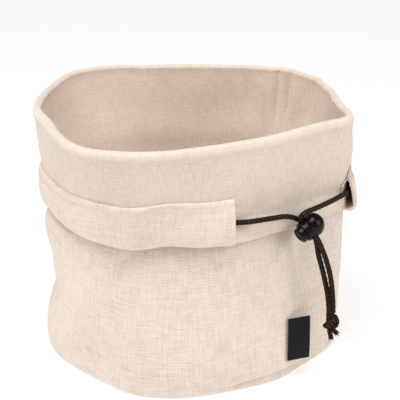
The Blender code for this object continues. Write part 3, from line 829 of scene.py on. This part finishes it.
def wall_grid(columns):
    """Middle of the wall's cloth, rows by columns: up the body, round the fold and down the cuff.

    Each point is a distance from the middle of the bag at a direction and a height. The fold at the
    rim is a half circle of FOLD_RADIUS with a bulge outwards that fades down the cuff. Weights are how
    thick the cloth is, 1 round the fold and below the cord in the casing's gap. The last array is a
    painted highlight: how pale the outside is painted near the rim, standing in for light on the fold.
    """
    direction = (np.arange(columns) * 360 / columns)[None, :]
    seam = plan("seam", direction)
    low = seam + SEAM_ROLL + (SHOULDER - SEAM_ROLL - seam) * np.linspace(0, 1, BODY_ROWS)[:, None]
    high = np.linspace(SHOULDER, FOLD_CENTRE, SHOULDER_ROWS)[1:, None] + np.zeros_like(direction)
    up = np.concatenate([low, high])
    body = around(direction, body_radius(direction, up), up)

    under = np.radians(np.array([80, 55, 28])[:, None])
    edge = body_radius(direction, low[:1])
    tucked = around(
        direction, edge - SEAM_ROLL * (1 - np.cos(under)), seam + SEAM_ROLL * (1 - np.sin(under)))
    body = np.concatenate([tucked, body])

    outer = cuff_radius(direction, np.full_like(direction, FOLD_CENTRE))
    turn = np.radians(np.linspace(180, 0, FOLD_ROWS)[1:, None])
    outwards = (1 + np.cos(turn)) / 2
    fold = around(
        direction, outer - FOLD_RADIUS + FOLD_RADIUS * np.cos(turn) + rim_bulge(FOLD_CENTRE) * outwards,
        FOLD_CENTRE + FOLD_RADIUS * np.sin(turn))

    hem = hem_height(direction)
    down = FOLD_CENTRE + (hem - FOLD_CENTRE) * np.linspace(0, 1, CUFF_ROWS)[1:, None] ** RIM_CROWDING
    below_cord = eased((CORD_LEFT_HEIGHT - 2 * MM - down) / (2 * MM)) * in_gap(direction)
    cuff = around(direction, cuff_radius(direction, down) + HEM_STAND * below_cord + rim_bulge(down), down)
    thin = np.full((len(body), columns), WALL_SINGLE)
    plump = np.full((len(turn), columns), 1.0)
    below_rim = bell(down, FOLD_CENTRE, 2 * RIM_BULGE_REACH)
    cuff_weights = WALL_SINGLE + (1 - WALL_SINGLE) * np.maximum(below_cord, below_rim)
    grid = np.concatenate([body, fold, cuff])
    outside = np.concatenate([0 * thin, outwards * plump, np.ones_like(cuff_weights)])
    # Painted highlight: the outside near the rim fold is painted paler, standing in for light on the fold
    rim_highlight = RIM_HIGHLIGHT * outside * np.exp(-(((FOLD_CENTRE - grid[..., 2]) / RIM_HIGHLIGHT_REACH) ** 4))
    return grid, np.concatenate([thin, plump, cuff_weights]), rim_highlight


def in_gap(direction):
    """1 between the casing's two ends, 0 elsewhere, with soft ends."""
    turn = turn_from(direction, (CASING_START + CASING_END + 360) / 2)
    half = (CASING_END + 360 - CASING_START) / 2
    return eased((half + GAP_SOFT - np.abs(turn)) / GAP_SOFT)


def cord_height(direction):
    """Height of the cord inside the casing, falling evenly from the front end to the right end."""
    share = (direction - CASING_START) / (CASING_END - CASING_START)
    return CORD_LEFT_HEIGHT + (CORD_RIGHT_HEIGHT - CORD_LEFT_HEIGHT) * share


def casing_end(share):
    """Direction of the casing's right end, which leans back above LEAN_FROM."""
    return CASING_END + CASING_END_LEAN * np.maximum(0, share - LEAN_FROM) / (1 - LEAN_FROM)


def casing_rise(direction, share):
    """Height of a share of the casing, from its lower edge, which rises at the right end, to its roll."""
    near_end = bell(direction, CASING_END, MOUTH_REACH)
    low = hem_height(direction) + END_RISE * near_end
    return low + (casing_top(direction) - TOP_DROP - ROLL - low) * share


def casing_stand(direction, share):
    """Clear space between the casing and the cuff.

    It is an arch over the cord, which turns into a mouth that widens downwards at the right end.
    """
    low = hem_height(direction)
    middle = (cord_height(direction) - low) / (casing_top(direction) - low)
    from_middle = np.where(share < middle, (middle - share) / middle, (share - middle) / (1 - middle))
    fuller = FULL_NEAR_MOUTH * bell(direction, CASING_END + FULL_FROM_END, FULL_REACH)
    arch = (FACE_TUNNEL + fuller - GAP) * (1 - from_middle**ARCH_POWER)
    mouth = MOUTH * np.maximum(0, 1 - (share / MOUTH_TOP) ** 2) ** MOUTH_POWER
    near_end = bell(direction, casing_end(share), MOUTH_REACH)
    return GAP + arch * (1 - near_end) + (mouth + END_CLEAR) * near_end


class BREADBAG_OT_wall(bpy.types.Operator):
    """Make the wall: one cloth up the body, over the rim and down the cuff to its hem"""

    bl_idname = "breadbag.wall"
    bl_label = "Wall"

    def execute(self, context):
        cloth = context.scene.bag_cloth
        grid, weights, rim_highlight = wall_grid(cloth.columns)
        wall = place(grid_mesh("wall_cloth", grid, closed_across=True), linen(), cotton())
        # Paints the highlight on the rim fold into the cloth's colour
        paint_rim_highlight(wall, rim_highlight)
        thicken(wall, CLOTH / WALL_SINGLE, weights, back=1)
        settled(wall)
        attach(wall, BAG)
        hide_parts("wall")
        return {"FINISHED"}


def base_grid(columns):
    """Middle of the base's cloth: flat rings out to its edge, then a quarter turn up to its seam."""
    direction = (np.arange(columns) * 360 / columns)[None, :]
    edge = plan("base", direction) - CLOTH / 2
    bend = BASE_CORNER - CLOTH / 2
    shares = np.array([0.004, 0.1, 0.22, 0.34, 0.46, 0.58, 0.7, 0.8, 0.88, 0.94, 0.98])[:, None]
    flat = around(direction, (edge - bend) * shares, CLOTH / 2)
    turn = np.radians(np.linspace(0, 90, 7)[:, None])
    corner = around(direction, edge - bend + bend * np.sin(turn), CLOTH / 2 + bend * (1 - np.cos(turn)))
    rise = np.maximum(plan("seam", direction) + BASE_OVERLAP, BASE_CORNER + BASE_LEAST_RISE)
    share = np.array([0.25, 0.5, 0.75, 1.0])[:, None]
    top = BASE_CORNER + (rise - BASE_CORNER) * share
    return np.concatenate([flat, corner, around(direction, edge - BASE_TUCK * share, top)])


class BREADBAG_OT_base(bpy.types.Operator):
    """Make the base: a round of cloth turned up to its seam with the wall"""

    bl_idname = "breadbag.base"
    bl_label = "Base"

    def execute(self, context):
        grid = base_grid(180)
        steps = np.linalg.norm(np.diff(grid, axis=0, prepend=np.zeros((1, *grid.shape[1:]))), axis=2)
        reach = np.cumsum(steps, axis=0)
        reach = np.concatenate([reach, reach[:, :1]], axis=1)
        turn = np.linspace(0, 2 * math.pi, reach.shape[1])
        uv = (reach * np.sin(turn), -reach * np.cos(turn))
        mesh = grid_mesh("base_cloth", grid, closed_across=True, uv=uv)
        shape = bmesh.new()
        shape.from_mesh(mesh)
        middle = [e for e in shape.edges if e.is_boundary and e.verts[0].co.z < CLOTH]
        bmesh.ops.holes_fill(shape, edges=middle)
        shape.to_mesh(mesh)
        shape.free()
        base = place(mesh, linen(), cotton())
        thicken(base, CLOTH, back=1)
        settled(base)
        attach(base, BAG)
        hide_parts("base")
        return {"FINISHED"}


def casing_grid(columns):
    """Middle of the casing's cloth, rows by columns.

    It is a flattened tube: down its lining, round its lower edge, up its face and over its top edge to
    the cuff. Layer is 1 on the lining and 0 on the face. Between them the tube's section is half an
    ellipse, its distance out by the cosine and its depth by the sine of half a turn times the layer.
    The lining stands LIP_FRONT and LIP_RIGHT degrees further out than the face, and curls outwards at
    the right. Weights are how thick the cloth is, 1 where its ends are turned under.
    """
    along = np.linspace(0, 1, columns)[None, :]
    lining_down, face_up = np.linspace(MOUTH_TOP, 0.04, LINING_ROWS), np.linspace(0, 1, FACE_ROWS)
    share = np.concatenate([lining_down, np.zeros(EDGE_ROWS), face_up])[:, None]
    round_edge = np.linspace(1, 0, EDGE_ROWS + 2)[1:-1]
    layer = np.concatenate([np.ones(LINING_ROWS), round_edge, np.zeros(FACE_ROWS)])[:, None]
    front = CASING_START + LIP_FRONT * layer
    right = casing_end(share) - LIP_RIGHT * layer
    direction = front + (right - front) * along
    height = casing_rise(direction, share)
    turn = np.radians(direction)
    puckers = PUCKER * np.sin(turn * 41 + 3 * np.sin(turn * 5)) * share**3
    rolled = ROLL * eased((share - ROLL_FROM) / ROLL_OVER)
    cuff = cuff_radius(direction, height)
    face = cuff + CLOTH + casing_stand(direction, share) + puckers + rolled
    lining = cuff + CLOTH / 2 + LINING + LIP_CURL * bell(direction, right, LIP_CURL_REACH)
    half = (face - lining) / 2
    radius = lining + half + half * np.cos(math.pi * layer)
    band = around(direction, radius, height - 0.7 * half * np.sin(math.pi * layer))

    over = np.radians(np.array([25, 50, 75, 90])[:, None])
    last = direction[-1:]
    rim = around(last, face[-1:] - ROLL * (1 - np.cos(over)), height[-1:] + ROLL * np.sin(over))
    meet = around(last, cuff[-1:] + CLOTH / 2, height[-1:] + ROLL)

    from_end = np.minimum(along, 1 - along) * math.radians(CASING_START - CASING_END) * plan("hem", 0)
    ends = 1 - eased((from_end - TURNED_UNDER) / (1.5 * MM))
    weights = np.where(layer > 0.5, LINING_SINGLE, CASING_SINGLE + (1 - CASING_SINGLE) * ends)
    weights = np.concatenate([weights, np.repeat(weights[-1:], len(over) + 1, axis=0)])
    return np.concatenate([band, rim, meet]), weights


class BREADBAG_OT_casing(bpy.types.Operator):
    """Make the drawstring casing, a band sewn to the cuff's lower half and open at both ends"""

    bl_idname = "breadbag.casing"
    bl_label = "Casing"

    def execute(self, context):
        grid, weights = casing_grid(380)
        casing = place(grid_mesh("casing_cloth", grid[:, ::-1]), linen(), cotton())
        thicken(casing, CLOTH / CASING_SINGLE, weights[:, ::-1], back=1)
        settled(casing)
        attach(casing, BAG)
        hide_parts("casing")
        return {"FINISHED"}


def distances(points):
    """Distance along a line of points to each of them."""
    return np.concatenate([[0], np.cumsum(np.linalg.norm(np.diff(points, axis=0), axis=1))])


def read_at(at, steps, points):
    """Points of a line at given distances along it, where steps are the distances to its own points."""
    return np.stack([np.interp(at, steps, points[:, axis]) for axis in range(3)], axis=-1)


def unit(vectors):
    return vectors / np.linalg.norm(vectors, axis=-1, keepdims=True)


def stitches(name, points, outward, pitch, length, radius):
    """A row of stitches along a line of points: each is a low arch of thread with closed ends.

    Across a stitch its outline is a circle of six sides. Along it, the circle grows and shrinks as a
    half sine, and its middle rises by the same half sine.
    """
    steps = distances(points)
    starts = np.arange(pitch / 2, steps[-1] - pitch, pitch)
    share = np.linspace(0, 1, 6)
    at = starts[:, None] + length * share
    middle = read_at(at, steps, points)
    away = unit(read_at(at, steps, outward))
    ahead = unit(np.gradient(middle, axis=1))
    side = np.cross(ahead, away)
    swell = np.sin(np.pi * np.clip(share, 0.04, 0.96))
    turn = np.arange(6) * math.pi / 3
    rim = away[:, :, None] * np.cos(turn)[:, None] + side[:, :, None] * np.sin(turn)[:, None]
    round_it = middle[:, :, None] + radius * (0.3 + 0.7 * swell)[:, None, None] * rim
    round_it = round_it + away[:, :, None] * (radius * 1.1 * (swell - 0.35))[:, None, None]
    count, rings, sides = round_it.shape[:3]
    index = np.arange(count * rings * sides).reshape(count, rings, sides)
    onward, beside = index[:, 1:], np.roll(index, -1, axis=2)
    quads = np.stack([index[:, :-1], beside[:, :-1], beside[:, 1:], onward], axis=-1)
    caps = np.concatenate([index[:, 0, ::-1], index[:, -1]]).tolist()
    mesh = bpy.data.meshes.new(name)
    mesh.from_pydata(round_it.reshape(-1, 3).tolist(), [], quads.reshape(-1, 4).tolist() + caps)
    return place(mesh, sewing_thread())


class BREADBAG_OT_stitching(bpy.types.Operator):
    """Sew the casing's top edge to the cuff"""

    bl_idname = "breadbag.stitching"
    bl_label = "Stitching"

    def execute(self, context):
        direction = np.linspace(CASING_START - STITCH_INSET, casing_end(STITCH_SHARE) + STITCH_INSET, 700)
        height = casing_rise(direction, STITCH_SHARE)
        out = casing_stand(direction, STITCH_SHARE) + CLOTH * 1.5 + STITCH_CLEAR
        line = around(direction, cuff_radius(direction, height) + out, height)
        piece = stitches(
            "stitches_casing_top", line, around(direction, 1.0, 0.0), STITCH_PITCH, STITCH_LENGTH,
            STITCH_RADIUS)
        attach(piece, BAG)
        return {"FINISHED"}


def smooth_route(points, parts):
    """A smooth curve through the given points, read at an even number of parts between each two."""
    points = np.array(points)
    knots = np.concatenate([[0], np.cumsum(np.sqrt(np.linalg.norm(np.diff(points, axis=0), axis=1)))])
    last = len(knots) - 1
    at = np.interp(np.linspace(0, last, last * parts + 1), np.arange(last + 1), knots)
    return smooth_between(knots, points, at)


def even_steps(points, step):
    """Points at even steps along a line of points."""
    steps = distances(points)
    return read_at(np.linspace(0, steps[-1], max(2, round(steps[-1] / step) + 1)), steps, points)


def tube_axes(path):
    """Two directions square to a path at each of its points, carried along it without twisting."""
    ahead = unit(np.gradient(path, axis=0))
    start = np.cross(ahead[0], (0.3, 0.2, 0.9))
    first = [unit(start)]
    for direction in ahead[1:]:
        first.append(unit(first[-1] - direction * np.dot(first[-1], direction)))
    first = np.array(first)
    return first, np.cross(ahead, first)


def braided_tube(path, radius, cell, crossings):
    """Points and relief of a braided cord along a path, rings by sides, closed at both ends.

    Two families of yarns run round the cord both ways. In each diamond where they cross, one lies on
    top: its crown is a sine across it and a flatter sine along it. Yarns take turns like a chessboard.
    """
    path = even_steps(path, cell / 4)
    first, second = tube_axes(path)
    turn = np.arange(crossings * 4) / (crossings * 4)
    along = np.arange(len(path)) / 4
    one = crossings * turn + along[:, None] / 2
    other = crossings * turn - along[:, None] / 2
    on_top = (np.floor(one) + np.floor(other)) % 2 == 0
    crown_one, crown_other = np.sin(np.pi * (one % 1)), np.sin(np.pi * (other % 1))
    relief = np.where(on_top, crown_one * crown_other**0.35, crown_other * crown_one**0.35)
    size = radius * (0.87 + 0.16 * relief)
    angle = 2 * math.pi * turn[:, None]
    rim = first[:, None] * np.cos(angle) + second[:, None] * np.sin(angle)
    grid = path[:, None] + rim * size[..., None]
    closing = np.array([0.0, 0.5, 0.85])[:, None, None]
    before, after = (path[1] - path[0]) * 0.8, (path[-1] - path[-2]) * 0.8
    start = path[0] + (grid[0] - path[0]) * closing - before * (1 - closing)
    closing = closing[::-1]
    finish = path[-1] + (grid[-1] - path[-1]) * closing + after * (1 - closing)
    grid = np.concatenate([start, grid, finish])
    relief = np.concatenate([relief[:1]] * 3 + [relief] + [relief[-1:]] * 3)
    return grid, relief


def join_grids(name, grids, reliefs):
    """One mesh of several tubes, each closed round its sides, with the relief of every point."""
    shape, offset, quads = [], 0, []
    for grid in grids:
        rows, columns = grid.shape[:2]
        index = offset + np.arange(rows * columns).reshape(rows, columns)
        index = np.concatenate([index, index[:, :1]], axis=1)
        quads.append(cells(index).reshape(-1, 4))
        shape.append(grid.reshape(-1, 3))
        offset += rows * columns
    mesh = bpy.data.meshes.new(name)
    mesh.from_pydata(np.concatenate(shape).tolist(), [], np.concatenate(quads).tolist())
    layer = mesh.attributes.new("relief", "FLOAT", "POINT")
    layer.data.foreach_set("value", np.concatenate([r.reshape(-1) for r in reliefs]).astype(np.float32))
    return weld(mesh, 0.01 * MM)


def through_hole(side):
    """Places along the lock's hole, in front (side 1) or behind (side -1)."""
    across = PLUNGER_AXIS.cross(HOLE_AXIS).normalized() * STRAND_OFFSET * side
    return [
        LOCK_CENTRE + PLUNGER_AXIS * (HOLE_MIDDLE * MM) + across + HOLE_AXIS * reach * MM
        for reach in HOLE_REACH
    ]


def along_casing(direction):
    """Places of the cord's middle inside the casing, close to the cuff."""
    height = cord_height(direction)
    return around(direction, cuff_radius(direction, height) + CLOTH / 2 + TUNNEL / 2, height)


def make_cord(name, path):
    cord = bpy.context.scene.bag_cord
    grid, relief = braided_tube(path, cord.diameter / 2, cord.cell, cord.crossings)
    piece = place(join_grids(name, [grid], [relief]), braid())
    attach(piece, BAG)
    return piece


class BREADBAG_OT_cords(bpy.types.Operator):
    """Braid the cord: its hidden stretch in the casing and the two free runs down to the knot"""

    bl_idname = "breadbag.cords"
    bl_label = "Cord"

    def execute(self, context):
        gap = math.degrees(GAP / plan("hem", 0))
        hidden = along_casing(np.linspace(CORD_INSIDE_FROM, CORD_INSIDE_TO, 200))
        inside = make_cord("cord_in_casing", hidden)
        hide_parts("cord_inside")

        left_in = along_casing(np.array([CORD_INSIDE_FROM + gap, CASING_START - 4, CASING_START]))
        right_in = along_casing(np.array([CORD_INSIDE_TO - gap, CASING_END + 5, CASING_END]))
        left = [*left_in, *(Vector(p) * MM for p in LEFT_BEFORE_LOCK), *through_hole(-1)]
        left += [Vector(p) * MM for p in LEFT_AFTER_LOCK]
        right = [*right_in, *(Vector(p) * MM for p in RIGHT_BEFORE_LOCK), *through_hole(1)]
        right += [Vector(p) * MM for p in RIGHT_AFTER_LOCK]
        runs = (("cord_left_run", left, "cord_left"), ("cord_right_run", right, "cord_right"))
        for name, points, node in runs:
            path = smooth_route(points, 24)
            piece = make_cord(name, path)
            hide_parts(node)
            tied = make_knot() if node == "cord_left" else bpy.data.objects["knot_tied"]
        return {"FINISHED"}


def make_knot():
    """The overhand knot of both strands, with their tails.

    Each strand follows an open trefoil: twice round the knot's axis while it turns three times about
    a ring, in at the top and out at the bottom. The second strand lies an eighth of a turn further
    about the ring.
    """
    cord = bpy.context.scene.bag_cord
    ring, swing, rise = 2.5 * MM, 1.3 * MM, 2.5 * MM
    centre = np.array(KNOT_CENTRE) + KNOT_SHIFT
    grids, reliefs = [], []
    entries = ((-1.3, -0.9, 5.6), (1.0, 0.0, 5.6))
    tails = (((-0.4, -0.7, -4.6), (0.1, -0.9, -7.4), (0.7, -1.0, -9.9)),
             ((1.7, 0.2, -4.2), (2.5, 0.4, -6.0), (3.8, 0.6, -7.6)))
    for strand, (entry, tail) in enumerate(zip(entries, tails)):
        t = np.linspace(math.pi / 6, 11 * math.pi / 6, 46)
        phase = strand * math.pi / 4
        turn = 2 * t + math.radians(150)
        radius = ring + swing * np.cos(3 * t + phase)
        height = rise * np.sin(3 * t + phase)
        knot = np.stack([radius * np.cos(turn), radius * np.sin(turn), height], axis=-1)
        way = np.concatenate([np.array([entry]) * MM, knot[2:-2:3], np.array(tail) * MM]) + centre
        grid, relief = braided_tube(
            smooth_route(way, 8), cord.diameter / 2 * KNOT_TIGHT, cord.cell, cord.crossings)
        grids.append(grid)
        reliefs.append(relief)
        fray, fray_relief = frayed_end(way[-1], way[-1] - way[-2], cord.diameter / 2, seed=strand)
        grids += fray
        reliefs += fray_relief
    piece = place(join_grids("knot_tied", grids, reliefs), braid())
    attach(piece, BAG)
    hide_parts("knot")
    return piece


def frayed_end(tip, ahead, radius, seed):
    """Loose yarns at a cut end: thin cones that spread from the tip and bend a little."""
    chance = np.random.default_rng(seed)
    ahead = unit(ahead)
    side = unit(np.cross(ahead, (0.2, 0.9, 0.1)))
    other = np.cross(ahead, side)
    grids, reliefs = [], []
    for _ in range(18):
        turn, out = chance.uniform(0, 2 * math.pi), chance.uniform(0.2, 0.95)
        spread = math.cos(turn) * side + math.sin(turn) * other
        start = tip + radius * out * spread - ahead * 0.8 * MM
        reach = chance.uniform(1.6, 2.9) * MM
        share = np.linspace(0, 1, 5)[:, None]
        line = start + ahead * reach * share + spread * out * 0.9 * MM * share**2
        first, second = tube_axes(line)
        angle = np.arange(5)[:, None] * 2 * math.pi / 5
        width = (0.26 * MM * (1.02 - share))[:, :, None]
        rim = first[:, None] * np.cos(angle) + second[:, None] * np.sin(angle)
        grids.append(line[:, None] + width * rim)
        reliefs.append(np.full((5, 5), chance.uniform(0.3, 1.0)))
    return grids, reliefs


def lock_frame():
    """Place of the lock: local Z along the plunger, local X along the hole, from the ball's middle."""
    side = PLUNGER_AXIS.cross(HOLE_AXIS).normalized()
    hole = side.cross(PLUNGER_AXIS).normalized()
    turn = Matrix((hole, side, PLUNGER_AXIS)).transposed().to_4x4()
    return Matrix.Translation(LOCK_CENTRE) @ turn


def turned(name, profile, steps=96):
    """A shape turned about local Z: a profile of distances and heights in mm, carried round a circle."""
    profile = np.array(profile) * MM
    angle = np.arange(steps) * 2 * math.pi / steps
    grid = np.stack([
        profile[:, :1] * np.cos(angle),
        profile[:, :1] * np.sin(angle),
        np.repeat(profile[:, 1:], steps, axis=1),
    ], axis=-1)
    return weld(grid_mesh(name, grid, closed_across=True), 0.001 * MM)


def arc(centre, radius, start, end, steps):
    """Points of an arc in the profile's plane, angles in degrees from its outward axis."""
    turn = np.radians(np.linspace(start, end, steps))
    return np.stack([centre[0] + radius * np.cos(turn), centre[1] + radius * np.sin(turn)], axis=-1)


def hole_bar(low, high):
    """The hole through the lock as a bar with rounded long edges, from low to high along the plunger."""
    mesh = bpy.data.meshes.new("hole_bar")
    shape = bmesh.new()
    bmesh.ops.create_cube(shape, size=1)
    bmesh.ops.scale(shape, vec=Vector((CUTTER_LENGTH, HOLE_WIDTH, high - low)) * MM, verts=shape.verts)
    bmesh.ops.translate(shape, vec=(0, 0, (low + high) / 2 * MM), verts=shape.verts)
    edges = [e for e in shape.edges if abs((e.verts[0].co - e.verts[1].co).x) > 0.01]
    bmesh.ops.bevel(
        shape, geom=edges, offset=HOLE_ROUNDING * MM, segments=5, profile=0.5, affect="EDGES")
    shape.to_mesh(mesh)
    shape.free()
    return mesh


def cut_hole(piece, low, high):
    """Cuts the cord's hole out of a piece of the lock, rounds the cut and puts the piece in its place."""
    bar = bpy.data.objects.new("hole_bar", hole_bar(low, high))
    bpy.context.scene.collection.objects.link(bar)
    cut = piece.modifiers.new("hole", "BOOLEAN")
    cut.operation = "DIFFERENCE"
    cut.object = bar
    settled(piece)
    mesh = bar.data
    bpy.data.objects.remove(bar)
    bpy.data.meshes.remove(mesh)
    piece.data.transform(lock_frame())
    piece.data.shade_smooth()
    piece.data.set_sharp_from_angle(angle=math.radians(35))


class BREADBAG_OT_lock(bpy.types.Operator):
    """Mould the cord lock: the ball with its collar and hole, and the plunger in its bore"""

    bl_idname = "breadbag.lock"
    bl_label = "Cord lock"

    def execute(self, context):
        radius = context.scene.bag_lock.ball_radius / MM
        meet = math.degrees(math.asin(COLLAR_FOOT / radius))
        ball = np.concatenate([
            arc((0, 0), radius, -90, -1.2, 26),
            [(radius + 0.06, -0.12), (radius + 0.06, 0.12)],
            arc((0, 0), radius, 1.2, meet, 12),
            [(5.8, 4.2), (5.8, 5.6)],
            arc((5.5, 6.5), 0.3, 0, 90, 5),
            arc((5.05, 6.55), 0.25, 90, 180, 5),
            [(4.8, 4.0), (4.8, 0.0), (4.8, -2.2), (4.6, -2.4), (2.0, -2.4), (0, -2.4)],
        ])
        shell = place(turned("lock_ball_moulded", ball), moulded_plastic())
        cut_hole(shell, HOLE_MIDDLE - HOLE_HALF_HEIGHT, HOLE_MIDDLE + HOLE_HALF_HEIGHT)
        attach(shell, BAG)
        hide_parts("lock_ball")

        button = np.concatenate([
            [(0, -0.5), (2.0, -0.5), (4.3, -0.5), (4.5, -0.3), (4.5, 3.0), (4.5, 7.4), (4.5, 8.9)],
            arc((3.3, 9.1), 1.2, 0, 78, 9),
            arc((2.6, 10.3), 0.22, 60, 150, 4),
            [(2.3, 10.05), (1.2, 9.95), (0, 9.93)],
        ])
        plunger = place(turned("lock_plunger_moulded", button, 72), moulded_plastic())
        cut_hole(
            plunger, HOLE_MIDDLE - HOLE_HALF_HEIGHT, HOLE_MIDDLE + HOLE_HALF_HEIGHT + PLUNGER_TRAVEL)
        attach(plunger, PLUNGER)
        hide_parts("lock_plunger")
        return {"FINISHED"}


def label_grid():
    """Middle of the label: sewn in along the seam, it stands off at its turn.

    Its free edge curls a little towards the wall at the middle of its height.
    """
    share = np.linspace(0, 1, 34)[:, None]
    out = np.linspace(0, 1, 20)[None, :]
    direction = LABEL_DIRECTION + LABEL_LEAN * share
    height = LABEL_BOTTOM + (LABEL_TOP - LABEL_BOTTOM) * share
    start = body_radius(np.repeat(direction, 2, axis=1), np.repeat(height, 2, axis=1))[:, :1]
    corner = around(direction, start + LABEL_STAND, height)
    turn = math.radians(LABEL_TURN)
    width = LABEL_WIDTH * out
    curl = LABEL_CURL * np.sin(math.pi * share) * out
    reach = np.broadcast_arrays(width * math.cos(turn), width * math.sin(turn) - curl, 0.0)
    return corner + np.stack(reach, axis=-1)


class BREADBAG_OT_label(bpy.types.Operator):
    """Weave the bare label and sew it into the side seam"""

    bl_idname = "breadbag.label"
    bl_label = "Label"

    def execute(self, context):
        label = place(grid_mesh("label_ribbon", label_grid()), satin_ribbon())
        thicken(label, LABEL_THICKNESS)
        settled(label)
        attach(label, BAG)
        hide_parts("label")
        return {"FINISHED"}


def area_light(name, size, power, position):
    data = bpy.data.lights.new(name, "AREA")
    data.shape = "DISK"
    data.size = size
    data.energy = power
    light = bpy.data.objects.new(name, data)
    light.location = position
    light.rotation_euler = (LIGHT_AIM - Vector(position)).to_track_quat("-Z", "Y").to_euler()
    bpy.context.scene.collection.objects.link(light)


class BREADBAG_OT_stage(bpy.types.Operator):
    """Set up the camera, the soft studio light and the pale floor"""

    bl_idname = "breadbag.stage"
    bl_label = "Stage"

    def execute(self, context):
        scene = context.scene
        stage = scene.bag_stage
        data = bpy.data.cameras.new("camera")
        data.lens = stage.lens
        data.sensor_width = 36
        data.shift_x = CAMERA_SHIFT
        camera = bpy.data.objects.new("camera", data)
        away = Vector((0, -math.cos(stage.elevation), math.sin(stage.elevation)))
        camera.location = CAMERA_AIM + away * stage.distance
        camera.rotation_euler = (-away).to_track_quat("-Z", "Y").to_euler()
        scene.collection.objects.link(camera)
        scene.camera = camera

        # White acrylic, 12 m across, lit from below and finely etched
        acrylic, tree, shader = new_material(
            "lit_acrylic", 0.9, Emission_Color=(1, 1, 1, 1), Emission_Strength=stage.floor_glow)
        places = add_node(tree, "ShaderNodeTexCoord")
        tooth = add_node(tree, "ShaderNodeTexNoise", {"Vector": places.outputs["Object"], "Scale": 300.0})
        colour = add_node(
            tree, "ShaderNodeMix",
            {"Factor": tooth, "A": (*linear("#B8B8B8"), 1), "B": (*linear("#BEBEBE"), 1)},
            data_type="RGBA")
        tree.links.new(colour.outputs["Result"], shader.inputs["Base Color"])
        side = np.linspace(-6, 6, 9)
        x, y = np.meshgrid(side, side)
        floor = place(grid_mesh("floor", np.stack([x, y, np.zeros_like(x)], axis=-1)), acrylic)

        for name, size, setting, share, position in SOFTBOXES:
            area_light(name, size, getattr(stage, setting) * share, position)
        world = bpy.data.worlds.new("surround")
        world.use_nodes = True
        background = world.node_tree.nodes["Background"]
        background.inputs["Color"].default_value = (1, 1, 1, 1)
        background.inputs["Strength"].default_value = stage.sky
        scene.world = world
        scene.view_settings.view_transform = "Standard"
        return {"FINISHED"}


MAKERS = (
    BREADBAG_OT_stage,
    BREADBAG_OT_cords,
    BREADBAG_OT_wall,
    BREADBAG_OT_base,
    BREADBAG_OT_casing,
    BREADBAG_OT_stitching,
    BREADBAG_OT_lock,
    BREADBAG_OT_label,
)
SETTINGS = {
    "bag_cloth": ClothSettings,
    "bag_cord": CordSettings,
    "bag_lock": LockSettings,
    "bag_stage": StageSettings,
}


class BREADBAG_PT_panel(bpy.types.Panel):
    """Lists the makers of the bag's pieces and their settings"""

    bl_label = "Bread bag"
    bl_idname = "BREADBAG_PT_panel"
    bl_space_type = "VIEW_3D"
    bl_region_type = "UI"
    bl_category = "Bread bag"

    def draw(self, context):
        for name, settings in SETTINGS.items():
            box = self.layout.box()
            for field in settings.__annotations__:
                box.prop(getattr(context.scene, name), field)
        for maker in MAKERS:
            self.layout.operator(maker.bl_idname)


def register():
    for settings in SETTINGS.values():
        bpy.utils.register_class(settings)
    for name, settings in SETTINGS.items():
        setattr(bpy.types.Scene, name, PointerProperty(type=settings))
    for maker in MAKERS:
        bpy.utils.register_class(maker)
    bpy.utils.register_class(BREADBAG_PT_panel)


def unregister():
    bpy.utils.unregister_class(BREADBAG_PT_panel)
    for maker in reversed(MAKERS):
        bpy.utils.unregister_class(maker)
    for name, settings in SETTINGS.items():
        delattr(bpy.types.Scene, name)
        bpy.utils.unregister_class(settings)


def main():
    register()
    bpy.ops.breadbag.stage()
    bpy.ops.breadbag.cords()
    bpy.ops.breadbag.wall()
    bpy.ops.breadbag.base()
    bpy.ops.breadbag.casing()
    bpy.ops.breadbag.stitching()
    bpy.ops.breadbag.lock()
    bpy.ops.breadbag.label()


if __name__ == "__main__":
    main()
